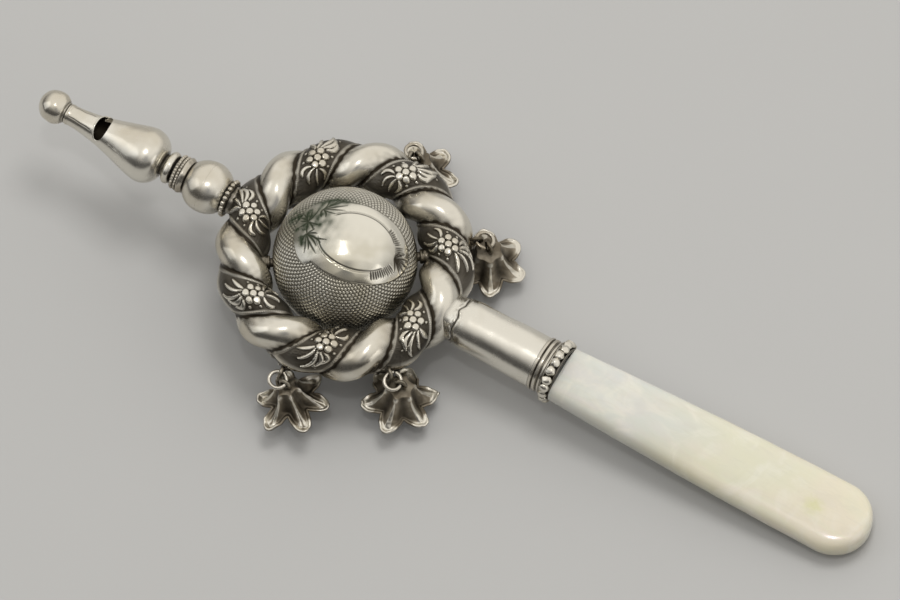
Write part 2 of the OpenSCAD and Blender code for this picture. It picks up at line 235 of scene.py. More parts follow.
def add_piece(name, part, look, body, nodes, place=LIE, sharp=50):
    points, faces = part[0], part[1]
    layers = part[2] if len(part) > 2 else {}
    faces = outward(points, faces)
    world = carried(points, place) * TO_METRES
    mesh = bpy.data.meshes.new(name)
    mesh.vertices.add(len(world))
    mesh.vertices.foreach_set("co", world.astype(np.float32).ravel())
    mesh.loops.add(faces.size)
    mesh.loops.foreach_set("vertex_index", faces.astype(np.int32).ravel())
    mesh.polygons.add(len(faces))
    mesh.polygons.foreach_set("loop_start", np.arange(0, faces.size, faces.shape[1], dtype=np.int32))
    mesh.update(calc_edges=True)
    mesh.validate()
    for layer, values in layers.items():
        mesh.attributes.new(layer, "FLOAT", "POINT").data.foreach_set("value", np.asarray(values, np.float32))
    mesh.shade_smooth()
    if sharp:
        mesh.set_sharp_from_angle(angle=math.radians(sharp))
    mesh.materials.append(look)
    piece = linked(name, mesh)
    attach(piece, body)
    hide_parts(*nodes)
    return piece


def dense(outline, step):
    """A closed outline with no side longer than step."""
    outline = np.asarray(outline, float)
    made = []
    for a, b in zip(outline, np.roll(outline, -1, 0)):
        n = max(1, math.ceil(np.linalg.norm(b - a) / step))
        made += [a + (b - a) * k / n for k in range(n)]
    return np.array(made)


def eased(outline, radius, steps=3):
    """A closed outline with its corners rounded."""
    outline = np.asarray(outline, float)
    made = []
    for before, at, after in zip(np.roll(outline, 1, 0), outline, np.roll(outline, -1, 0)):
        u, v = before - at, after - at
        reach = min(radius, np.linalg.norm(u) * 0.45, np.linalg.norm(v) * 0.45)
        if abs(np.cross(unit(u), unit(v))) < 0.15:
            made.append(at)
            continue
        a, b = at + unit(u) * reach, at + unit(v) * reach
        for t in np.linspace(0, 1, steps + 1):
            made.append((1 - t) ** 2 * a + 2 * t * (1 - t) * at + t**2 * b)
    return np.array(made)


def turned(outline, steps=160, side=1):
    """A closed outline of (radius, distance along the axis), turned round the X axis."""
    outline = np.asarray(outline, float)
    a = np.linspace(0, 2 * np.pi, steps, endpoint=False)
    r, s = outline[:, :1], outline[:, 1:]
    points = np.stack([side * s + 0 * a, r * np.cos(a), r * np.sin(a)], -1)
    return points.reshape(-1, 3), quads(len(outline), steps, True, True)


def lathed(outline, ease, step, steps, side=-1):
    """A closed outline with eased corners, turned round the X axis."""
    return turned(dense(eased(outline, ease), step), steps, side)


def dented(part, depth, size, seed):
    """A turned piece with shallow dents across its axis."""
    points = part[0].copy()
    points[:, 1:] *= 1 + depth * ripple(points, size, seed)[:, None]
    return (points, *part[1:])


def globe(radius, rings=16, steps=24):
    lat = np.linspace(-np.pi / 2 + 0.02, np.pi / 2 - 0.02, rings)[:, None]
    lon = np.linspace(0, 2 * np.pi, steps, endpoint=False)[None, :]
    points = np.stack([np.cos(lat) * np.cos(lon), np.cos(lat) * np.sin(lon), np.sin(lat) + 0 * lon], -1)
    return points.reshape(-1, 3) * radius, quads(rings, steps, False, True)


def wire_loop(radius, wire, steps=96, round_steps=20, gap=0.0, wobble=0.0, seed=0):
    """A ring of wire about Z. With a gap it stays open by that many degrees, with rounded ends."""
    a = np.linspace(gap / 2, 360 - gap / 2, steps, endpoint=gap > 0)
    b = np.linspace(0, 2 * np.pi, round_steps, endpoint=False)
    end = held(np.minimum(a - gap / 2, 360 - gap / 2 - a) * math.radians(radius) / (0.5 * wire))
    thick = wire * (np.sqrt(1 - (1 - end) ** 2) * 0.97 + 0.03 if gap else np.ones(steps))[:, None]
    r = np.random.default_rng(seed)
    a = np.radians(a)
    sway = wobble * (np.sin(2 * a + r.uniform(0, 6)) + 0.5 * np.sin(3 * a + r.uniform(0, 6)))
    out = radius + sway[:, None] + thick * np.cos(b)
    points = np.stack([out * np.cos(a)[:, None], out * np.sin(a)[:, None], thick * np.sin(b)], -1)
    return points.reshape(-1, 3), quads(steps, round_steps, gap == 0, True)


# Materials ---------------------------------------------------------------------------
class Look:
    """A procedural material, with short names for the nodes it is made of."""

    def __init__(self, name):
        self.material = bpy.data.materials.new(name)
        self.material.use_nodes = True
        self.tree = self.material.node_tree
        self.tree.nodes.clear()
        self.out = self.add("ShaderNodeOutputMaterial")
        self.shader = self.add("ShaderNodeBsdfPrincipled")
        self.tree.links.new(self.shader.outputs["BSDF"], self.out.inputs["Surface"])
        self.where = self.add("ShaderNodeTexCoord").outputs["Object"]

    def add(self, kind, **settings):
        node = self.tree.nodes.new(kind)
        for name, value in settings.items():
            setattr(node, name, value)
        return node

    def feed(self, socket, value):
        if isinstance(value, bpy.types.NodeSocket):
            self.tree.links.new(value, socket)
        elif isinstance(value, tuple) and len(value) == 3:
            socket.default_value = (*value, 1) if socket.type == "RGBA" else value
        else:
            socket.default_value = value

    def put(self, **inputs):
        for name, value in inputs.items():
            self.feed(self.shader.inputs[name.replace("_", " ")], value)

    def layer(self, name):
        return self.add("ShaderNodeAttribute", attribute_name=name).outputs["Fac"]

    def stretched(self, scale, turn=(0, 0, 0)):
        node = self.add("ShaderNodeMapping")
        self.feed(node.inputs["Vector"], self.where)
        node.inputs["Scale"].default_value = scale
        node.inputs["Rotation"].default_value = [math.radians(a) for a in turn]
        return node.outputs["Vector"]

    def noise(self, size, detail=4.0, rough=0.5, twist=0.0, vector=None):
        """Noise whose swells are that many millimetres across."""
        node = self.add("ShaderNodeTexNoise")
        self.feed(node.inputs["Vector"], vector or self.where)
        for name, value in (("Scale", 1 / (size * TO_METRES)), ("Detail", detail), ("Roughness", rough),
                            ("Distortion", twist)):
            self.feed(node.inputs[name], value)
        return node.outputs["Fac"]

    def cells(self, size):
        node = self.add("ShaderNodeTexVoronoi")
        self.feed(node.inputs["Vector"], self.where)
        self.feed(node.inputs["Scale"], 1 / (size * TO_METRES))
        return node.outputs["Distance"]

    def band(self, value, low, high, to_low=0.0, to_high=1.0):
        """Maps low..high smoothly to to_low..to_high."""
        node = self.add("ShaderNodeMapRange", interpolation_type="SMOOTHSTEP")
        for name, v in (("Value", value), ("From Min", low), ("From Max", high), ("To Min", to_low),
                        ("To Max", to_high)):
            self.feed(node.inputs[name], v)
        return node.outputs["Result"]

    def maths(self, kind, a, b=0.0, clamp=False):
        node = self.add("ShaderNodeMath", operation=kind, use_clamp=clamp)
        self.feed(node.inputs[0], a)
        self.feed(node.inputs[1], b)
        return node.outputs[0]

    def colour(self, share, a, b):
        node = self.add("ShaderNodeMix", data_type="RGBA")
        self.feed(node.inputs["Factor"], share)
        self.feed(node.inputs[6], a)
        self.feed(node.inputs[7], b)
        return node.outputs[2]

    def against(self, kind, other):
        """The distance from a point, or the product with a direction."""
        node = self.add("ShaderNodeVectorMath", operation=kind)
        self.feed(node.inputs[0], self.where)
        node.inputs[1].default_value = other
        return node.outputs["Value"]

    def bump(self, height, distance, strength=1.0, under=None):
        """A bump of that many millimetres."""
        node = self.add("ShaderNodeBump")
        self.feed(node.inputs["Height"], height)
        node.inputs["Distance"].default_value = distance * TO_METRES
        node.inputs["Strength"].default_value = strength
        if under is not None:
            self.feed(node.inputs["Normal"], under)
        return node.outputs["Normal"]

    def hollows(self, reach):
        """1 in the open and less in corners within that many millimetres."""
        node = self.add("ShaderNodeAmbientOcclusion", samples=6)
        node.inputs["Distance"].default_value = reach * TO_METRES
        return node.outputs["AO"]


def silver_look(name, bright, warm, dirt_and_shade, rough, shade_and_grime_reach, pits=0.2, green=False):
    """Silver with scratches, warm tarnish clouds, and dark oxide plus painted shade in hollows and in the
    layer called dark.
    """
    look = Look(name)
    clouds = look.noise(9, 3)
    fine_clouds = look.noise(1.6, 5, 0.6)
    metal = look.colour(look.band(clouds, 0.42, 0.7), bright, warm)
    # Painted shade: ambient occlusion darkens hollows and the gaps between parts, together with the real
    # oxide there
    oxide_and_shade = look.band(look.hollows(shade_and_grime_reach), 0.25, 0.8, 1.0, 0.0)
    patchy = look.band(fine_clouds, 0.3, 0.6, 0.55, 1.0)
    grime_and_shade = look.maths("MAXIMUM", look.maths("MULTIPLY", oxide_and_shade, patchy), look.layer("dark"), clamp=True)
    base = look.colour(grime_and_shade, metal, dirt_and_shade)
    metallic = look.band(grime_and_shade, 0.35, 1.0, 1.0, 0.82)
    dull = look.maths("MULTIPLY_ADD", fine_clouds, rough * 0.7)
    dull.node.inputs[2].default_value = rough * 0.65
    dull = look.maths("ADD", dull, look.maths("MULTIPLY", grime_and_shade, 0.16))
    dull = look.maths("ADD", dull, look.maths("MULTIPLY", look.layer("matte"), 0.18), clamp=True)
    if green:
        green_layer = look.layer("green")
        patina = look.band(look.noise(0.9, 6, 0.65), 0.28, 0.6, 0.72, 1.0)
        patina = look.maths("MULTIPLY", green_layer, patina, clamp=True)
        base = look.colour(patina, base, (0.020, 0.034, 0.012))
        metallic = look.maths("MULTIPLY", metallic, look.band(patina, 0.2, 1.0, 1.0, 0.35))
        dull = look.maths("ADD", dull, look.maths("MULTIPLY", patina, 0.3), clamp=True)
    lines = look.noise(0.5, 3, 0.6, 0.4, look.stretched((1, 14, 9), (20, 35, 60)))
    crossing = look.noise(0.45, 3, 0.6, 0.4, look.stretched((11, 1, 8), (65, 10, 25)))
    scratches = look.maths("ADD", look.band(lines, 0.62, 0.72), look.band(crossing, 0.64, 0.74))
    dimples = look.band(look.cells(0.5), 0.0, 0.16, 1.0, 0.0)
    rare = look.band(look.noise(2.2, 2), 0.55, 0.68)
    normal = look.bump(scratches, -0.0035, 0.5)
    normal = look.bump(look.maths("MULTIPLY", dimples, rare), -0.03, pits, normal)
    frost = look.maths("MULTIPLY", look.noise(0.16, 2, 0.6), look.layer("matte"))
    normal = look.bump(frost, 0.05, 0.6, normal)
    normal = look.bump(look.noise(3.4, 2, 0.4), 0.05, 0.3, normal)
    look.put(Base_Color=base, Metallic=metallic, Roughness=dull, Normal=normal)
    return look.material


BRIGHT, WARM, OXIDE_AND_SHADE = (0.80, 0.77, 0.69), (0.66, 0.61, 0.51), (0.032, 0.025, 0.016)
polished = silver_look("polished_silver", BRIGHT, WARM, OXIDE_AND_SHADE, 0.25, 1.0)
ball_silver = silver_look("ball_silver", (0.81, 0.78, 0.69), (0.64, 0.60, 0.49), (0.045, 0.037, 0.025),
                          0.18, 0.35, green=True)
chased = silver_look("chased_silver", (0.76, 0.725, 0.64), (0.60, 0.55, 0.45), (0.036, 0.028, 0.018),
                     0.22, 1.5)
worn = silver_look("worn_silver", (0.66, 0.62, 0.54), (0.42, 0.37, 0.29), OXIDE_AND_SHADE, 0.26, 0.8, pits=0.5)
oxidised = silver_look("oxidised_silver", (0.32, 0.29, 0.235), (0.14, 0.118, 0.085), (0.02, 0.016, 0.01),
                       0.3, 1.6, pits=0.8)
inner = silver_look("inner_silver", (0.25, 0.22, 0.18), (0.16, 0.135, 0.10), OXIDE_AND_SHADE, 0.4, 1.0)


def pearl_look():
    """Mother-of-pearl: cream, with blue-grey near the ferrule, painted darker beige shade along one long edge
    and a yellow-green blotch.
    """
    look = Look("mother_of_pearl")
    along = look.add("ShaderNodeSeparateXYZ")
    look.feed(along.inputs[0], look.where)
    start, end = (COLLAR_TO - MID_X) * TO_METRES, (HANDLE_TIP - MID_X) * TO_METRES
    share = look.band(along.outputs["X"], start, end)
    cloud = look.noise(26, 3, 0.5, 0.6, look.stretched((0.35, 1.0, 1.0), (0, 0, 12)))
    drift = look.maths("ADD", share, look.maths("MULTIPLY", look.maths("SUBTRACT", cloud, 0.5), 0.9))
    tone = look.colour(look.band(drift, 0.05, 0.45), (0.60, 0.605, 0.565), (0.66, 0.635, 0.50))
    tone = look.colour(look.band(drift, 0.62, 1.05), tone, (0.70, 0.645, 0.51))
    # Painted shade: a darker beige band along the handle's -Y long edge, broken up by noise
    shaded_side = look.band(along.outputs["Y"], (-MID_Y - 6.5) * TO_METRES, (-MID_Y - 1.0) * TO_METRES, 1.0, 0.0)
    shaded_side = look.maths("MULTIPLY", shaded_side, look.band(look.noise(14, 2), 0.35, 0.65))
    tone = look.colour(look.maths("MULTIPLY", shaded_side, 0.5), tone, (0.50, 0.455, 0.31))
    blotch_at = LIE @ np.array([93.5, -0.6, HALF_T, 1])
    from_blotch = look.against("DISTANCE", blotch_at[:3] * TO_METRES)
    ragged = look.maths("MULTIPLY", look.noise(2.0, 4, 0.6, 1.0), 0.0032)
    blotch = look.maths("ADD", from_blotch, ragged)
    tone = look.colour(look.band(blotch, 0.0016, 0.0042, 0.75, 0.0), tone, (0.58, 0.58, 0.30))
    milky = look.band(look.noise(7, 4, 0.55, 1.4), 0.45, 0.72, 0.0, 0.6)
    tone = look.colour(milky, tone, (0.73, 0.705, 0.62))
    growth = look.noise(1.1, 3, 0.5, 1.2, look.stretched((0.12, 1.0, 2.2), (0, 0, 8)))
    tone = look.colour(look.band(growth, 0.45, 0.75, 0.0, 0.22), tone, (0.55, 0.525, 0.43))
    look.put(Base_Color=tone, Roughness=look.band(look.noise(3, 4), 0.2, 0.8, 0.16, 0.26))
    look.put(Subsurface_Weight=0.22, Subsurface_Radius=(0.9, 0.8, 0.65), Subsurface_Scale=0.0018)
    look.put(Specular_IOR_Level=0.62, Coat_Weight=0.35, Coat_Roughness=0.09)
    film = look.noise(9, 4, 0.5, 2.0, look.stretched((0.4, 1, 1)))
    look.put(Thin_Film_Thickness=look.band(film, 0.2, 0.8, 330.0, 560.0))
    look.put(Thin_Film_IOR=1.62, Sheen_Weight=0.12, Sheen_Roughness=0.4)
    normal = look.bump(look.noise(5, 2), 0.05, 0.3)
    fibres = look.noise(0.35, 3, 0.6, 0.5, look.stretched((0.4, 5, 3), (0, 0, 20)))
    look.put(Normal=look.bump(fibres, 0.003, 0.5, normal))
    return look.material


pearl = pearl_look()


# Rope ring ---------------------------------------------------------------------------
LOBES = 2 * ROPE_TURNS
FLOWER_SIZE = 1.13
FLOWER_STEPS, PLAIN_STEPS, OVER_STEPS, INNER_STEPS = 64, 22, 150, 5
# The plumes at each end of a flower: start, bend, end and half width of each
OUTER_PLUMES = (((1.7, 1.0), (2.0, 2.5), (3.6, 1.7), 0.31), ((1.95, 0.45), (3.0, 2.0), (4.6, 1.0), 0.30),
                ((2.0, 0.0), (4.2, 1.2), (5.7, 0.1), 0.26), ((1.9, -0.5), (3.4, -0.2), (4.9, -1.1), 0.24),
                ((1.7, -0.8), (2.6, -1.2), (3.7, -2.2), 0.30))
INNER_PLUMES = (((1.7, 0.8), (2.0, 2.5), (3.5, 1.9), 0.31), ((1.9, 0.25), (3.2, 1.5), (4.5, 0.6), 0.27),
                ((1.9, -0.3), (3.2, -0.3), (4.4, -1.2), 0.24), ((1.7, -0.8), (2.0, -2.4), (3.4, -2.1), 0.31))


def plume(start, bend, end, wide, fine=0.08, count=16):
    """Discs along a curve, thin at the start, full near the middle and pointed at the tip: x, y, radius."""
    t = np.linspace(0, 1, count)[:, None]
    line = (1 - t) ** 2 * np.array(start) + 2 * t * (1 - t) * np.array(bend) + t**2 * np.array(end)
    return np.concatenate([line, fine + (wide - fine) * np.sin(np.pi * (0.08 + 0.86 * t)) ** 0.7], 1)


def flower_motif(seed):
    """A rosette of seven discs with curling plumes at both ends, along and across the strand."""
    r = np.random.default_rng(seed)
    turn = math.radians(r.uniform(-10, 10))
    discs = [(0, 0, 0.62)]
    discs += [(1.25 * math.cos(k * math.pi / 3 + turn), 1.25 * math.sin(k * math.pi / 3 + turn),
               0.6 + r.normal() * 0.02) for k in range(6)]
    curl = 1 if r.random() < 0.7 else -1
    plumes, dots = [], []
    for way, strokes in ((-1, OUTER_PLUMES), (1, INNER_PLUMES)):
        for start, bend, end, wide in strokes:
            jog = r.normal(size=2) * 0.07
            side = curl * way
            plumes.append(plume((way * start[0], side * start[1]), (way * bend[0], side * bend[1]),
                                (way * end[0] + jog[0], side * end[1] + jog[1]),
                                wide + 0.03 + r.normal() * 0.012))
    for k in range(9):
        dots.append((-2.1 - 0.34 * k, -curl * (0.25 + 0.02 * k * k), 0.12))
    dots += [(way * 0.95, side * 2.05, 0.24) for way in (-1, 1) for side in (-1, 1)]
    return np.array(discs), np.concatenate(plumes), np.array(dots)


def flower_relief(along, across, seed):
    """Height, and the distance outside the nearest shape, over one lobe."""
    discs, plumes, dots = flower_motif(seed)
    along, across = along / FLOWER_SIZE, across / FLOWER_SIZE
    height, gap = np.zeros(along.shape), np.full(along.shape, 9.0)
    for shapes, tall, slope in ((discs, 0.42, 0.22), (dots, 0.2, 0.14)):
        for x, y, radius in shapes:
            away = np.hypot(along - x, across - y) - radius
            rise = held(-away / slope)
            height = np.maximum(height, tall * np.sqrt(1 - (1 - rise) ** 2))
            gap = np.minimum(gap, away)
    near = np.full(along.shape, 9.0)
    for x, y, radius in plumes:
        near = np.minimum(near, np.hypot(along - x, across - y) - radius)
    rise = held(-near / 0.17)
    height = np.maximum(height, 0.36 * np.sqrt(1 - (1 - rise) ** 2))
    gap = np.minimum(gap, near)
    return height, gap


def rope_shell(way):
    """Half of the twisted ring, above its plane for way 1 and below for -1, with the lobes' relief."""
    over = np.linspace(0, 180, OVER_STEPS)
    back = np.linspace(180, 0, INNER_STEPS + 1)
    points, layers = [], {"dark": [], "matte": []}
    for lobe in range(LOBES):
        flowered = (lobe % 2 == 0) == (way > 0)
        steps = FLOWER_STEPS if flowered else PLAIN_STEPS
        half = 97 if flowered else 83
        x = (np.arange(steps) / steps * 2 * half - half)[None, :]
        crest = x * 90 / half
        centre = ROPE_PHASE + lobe * 180 / ROPE_TURNS
        phi = over[:, None]
        around = centre + (way * (phi - 90) + x) / ROPE_TURNS
        along_ring = way * RING_R * np.radians(around - centre)
        across_rope = ROPE_R * np.radians(phi - 90) + 0 * x
        along = 0.884 * across_rope + 0.466 * along_ring
        across = -0.466 * across_rope + 0.884 * along_ring
        radius = rope_radius(crest) + 0 * phi
        seam = held(np.minimum(phi, 180 - phi) / 3)
        to_groove = 90 - np.abs(crest)
        flat = np.stack([radius * 0 + along + 40 * lobe, across, 0 * along], -1)
        spread = 1 + 0.35 * ripple(flat, 1.6, 611 + lobe)
        dark = 0.95 * hump(to_groove, 0, 9 * spread) + 0.45 * hump(to_groove, 0, 27 * spread) + 0 * phi
        matte = np.zeros(radius.shape)
        radius = radius + 0.03 * ripple(flat, 4.5, 11 + lobe) - 0.07 * (1 - seam)
        if flowered:
            height, gap = flower_relief(along, across, 100 + lobe + (50 if way < 0 else 0))
            fade = held((180 - phi) / 16) * held(phi / 16)
            ground, height = fade * held((to_groove - 15) / 8), height * fade
            raised = held(height / 0.2)
            grain = 0.02 * ripple(flat, 0.45, 31 + lobe, 9)
            radius = radius - 0.24 * ground + height + grain * ground * (1 - raised)
            line = hump(np.clip(gap, 0, 9), 0, 0.13)
            close = hump(np.clip(gap, 0, 9), 0, 0.9)
            dark = np.maximum(dark, ground * (1 - raised) * (0.88 + 0.07 * close + 0.05 * line))
            matte = 0.3 * ground * (1 - raised)
            rib = hump(to_groove, 14, 3.2) * (0.5 + 0.5 * np.cos(2 * np.pi * along / 0.46))
            radius = radius + 0.13 * rib
            dark = np.maximum(dark, 0.7 * hump(to_groove, 14, 6.5) * (1 - rib))
        out = RING_R + radius * np.cos(np.radians(phi))
        rise = way * radius * np.sin(np.radians(phi))
        bend = np.radians(around)
        skin = np.stack([out * np.cos(bend), out * np.sin(bend), rise], -1)
        phi_in = back[:, None]
        bend_in = np.radians(centre + (way * (phi_in - 90) + x) / ROPE_TURNS)
        out_in = RING_R + HOLLOW_R * np.cos(np.radians(phi_in)) + 0 * x
        lining = np.stack([out_in * np.cos(bend_in), out_in * np.sin(bend_in),
                           way * HOLLOW_R * np.sin(np.radians(phi_in)) + 0 * x], -1)
        points.append(np.concatenate([skin, lining]))
        pad = np.zeros((len(back), steps))
        layers["dark"].append(np.concatenate([dark, pad]))
        layers["matte"].append(np.concatenate([matte, pad]))
    points = np.concatenate(points, 1)
    rows, columns = points.shape[:2]
    made = {n: np.concatenate(v, 1).ravel() for n, v in layers.items()}
    return points.reshape(-1, 3), quads(rows, columns, True, True), made


add_piece("rope_shell_upper", rope_shell(1), chased, "rattle", ["ring_front"])
add_piece("rope_shell_lower", rope_shell(-1), chased, "rattle", ["ring_back"])


# Ball --------------------------------------------------------------------------------
GRAINS_ROUND, GRAIN_ROW, ROW_SAMPLES, COLUMN_SAMPLES = 86, 0.645, 5, 6
PIN_WAY = np.array([*heading(ROPE_PHASE), 0])
BALL_TURN = 9.2
OVAL_AT = 2.4
SIDEWAYS = np.cross([0, 0, 1], PIN_WAY)
POLE = math.cos(math.radians(BALL_TURN)) * np.array([0, 0, 1]) - math.sin(math.radians(BALL_TURN)) * SIDEWAYS
BALL_UP = np.cross(POLE, PIN_WAY)
OVAL_TILT = -17.7
OVAL_IN, OVAL_OUT = (7.3, 5.2), (11.3, 7.6)
# Mean radii of the oval and of its band, and the two circles of the back's cartouche
OVAL_MEAN, BAND_MEAN, BACK_R, BACK_RING_R = 6.1, 8.2, 5.6, 3
# Where the green stain lies: place on the ball's front, size across and up, and strength
GREEN_PATCHES = (
    (-7.7, 3.9, 2.3, 2.2, 1.0), (-6.8, 6.9, 4.0, 1.9, 0.8), (-2.8, 8.4, 4.6, 1.3, 0.66),
    (-7.6, 1.2, 1.7, 1.6, 0.7), (-4.4, 4.2, 3.0, 3.4, 0.44), (-9.8, 6.6, 2.4, 2.6, 0.66),
    (-5.2, 0.8, 3.0, 2.8, 0.27),
)
# Rows of short cuts in the cartouche's band: first and last angle, and their ends (1 is the oval's line)
HATCHES = ((21, 47, 1.02, 1.2), (1, 16, 1.02, 1.3), (-61, -37, 1.03, 1.27), (-36, -22, 1.0, 1.3))
# The star at the oval's right end: angle and length of each ray
STAR_RAYS = ((-62, 3.2), (-42, 3.8), (-20, 4.0), (2, 3.6), (-85, 2.4),
             (24, 3.0), (-31, 2.4), (-52, 2.6), (44, 2.0), (-9, 2.6))
# Three sprays of leaves: their root, then the angle, length and half width of each leaf
SPRAYS = (
    ((-9.5, 2.2), ((-100, 3.6, 0.13), (-84, 3.0, 0.2), (-66, 4.4, 0.16), (-54, 3.2, 0.22), (-38, 3.4, 0.22),
                   (-24, 4.3, 0.13), (-8, 2.2, 0.15), (-118, 2.4, 0.2), (22, 1.9, 0.12))),
    ((-9.1, 4.7), ((160, 1.8, 0.16), (140, 2.0, 0.2), (115, 2.2, 0.2), (92, 2.3, 0.2), (70, 2.3, 0.2),
                   (48, 3.2, 0.18), (200, 2.0, 0.2), (-30, 2.2, 0.14), (-62, 2.2, 0.2), (-95, 2.6, 0.2))),
    ((-6.2, 6.9), ((30, 4.6, 0.15), (17, 5.4, 0.18), (4, 4.6, 0.17), (-12, 4.2, 0.15), (-32, 2.8, 0.14),
                   (58, 2.2, 0.12), (-75, 2.0, 0.18), (-100, 1.8, 0.18))),
)


def oval_place(x, y, semi):
    """Position on a scale where 1 is the oval's edge, and the angle round it."""
    c, s = heading(OVAL_TILT)
    u, v = c * x + s * y, -s * x + c * y
    return np.hypot(u / semi[0], v / semi[1]), np.degrees(np.arctan2(v / semi[1], u / semi[0]))


def on_oval(angle, scale, semi):
    """The point of an oval, scaled, at that angle."""
    c, s = heading(OVAL_TILT)
    u, v = heading(angle) * semi * scale
    return np.array([c * u - s * v, s * u + c * v])


def cuts_front():
    """Bright-cut strokes on the cartouche: start, bend, end and half width, from its centre."""
    r = np.random.default_rng(5)
    cuts = []
    for low, high, inner, outer in HATCHES:
        for angle in np.arange(low, high, 3.6):
            slant = 3 if low > 0 else -3
            a = on_oval(angle, inner, OVAL_IN)
            b = on_oval(angle + slant, outer + r.uniform(-0.03, 0.03), OVAL_IN)
            cuts.append((a, (a + b) / 2, b, 0.14))
    heart = on_oval(-8, 1.04, OVAL_IN)
    for angle, reach in STAR_RAYS:
        way = heading(angle)
        side = leftward(way)
        cuts.append((heart, heart + way * reach * 0.5 + side * 0.25, heart + way * reach, 0.24))
    for start, strokes in SPRAYS:
        for angle, reach, half in strokes:
            way = heading(angle)
            side = leftward(way) * r.uniform(-0.6, 0.6)
            cuts.append((np.array(start), start + way * reach * 0.5 + side, start + way * reach, half))
    return cuts


def cuts_back():
    """A ring of short strokes round the small cartouche at the back."""
    cuts = []
    for angle in np.arange(0, 360, 30):
        way = heading(angle)
        side = leftward(way) * 0.35
        cuts.append((way * 3.4, way * 4.2 + side, way * 5.0, 0.16))
    return cuts


def cut_depth(x, y, cuts):
    """How deep the strokes cut, from 0 to 1: thin at both ends of each."""
    depth = np.zeros(x.shape)
    t = np.linspace(0, 1, 26)[:, None]
    for start, bend, end, half in cuts:
        line = (1 - t) ** 2 * start + 2 * t * (1 - t) * bend + t**2 * end
        low, high = line.min(0) - 0.4, line.max(0) + 0.4
        inside = (x > low[0]) & (x < high[0]) & (y > low[1]) & (y < high[1])
        if not inside.any():
            continue
        xs, ys = x[inside], y[inside]
        best = np.zeros(xs.shape)
        for k, (px, py) in enumerate(line):
            wide = half * (0.35 + 0.65 * math.sin(math.pi * min(1, t[k, 0] * 0.92 + 0.08)))
            best = np.maximum(best, held(1.25 - np.hypot(xs - px, ys - py) / (wide * 1.35)))
        depth[inside] = np.maximum(depth[inside], best)
    return depth


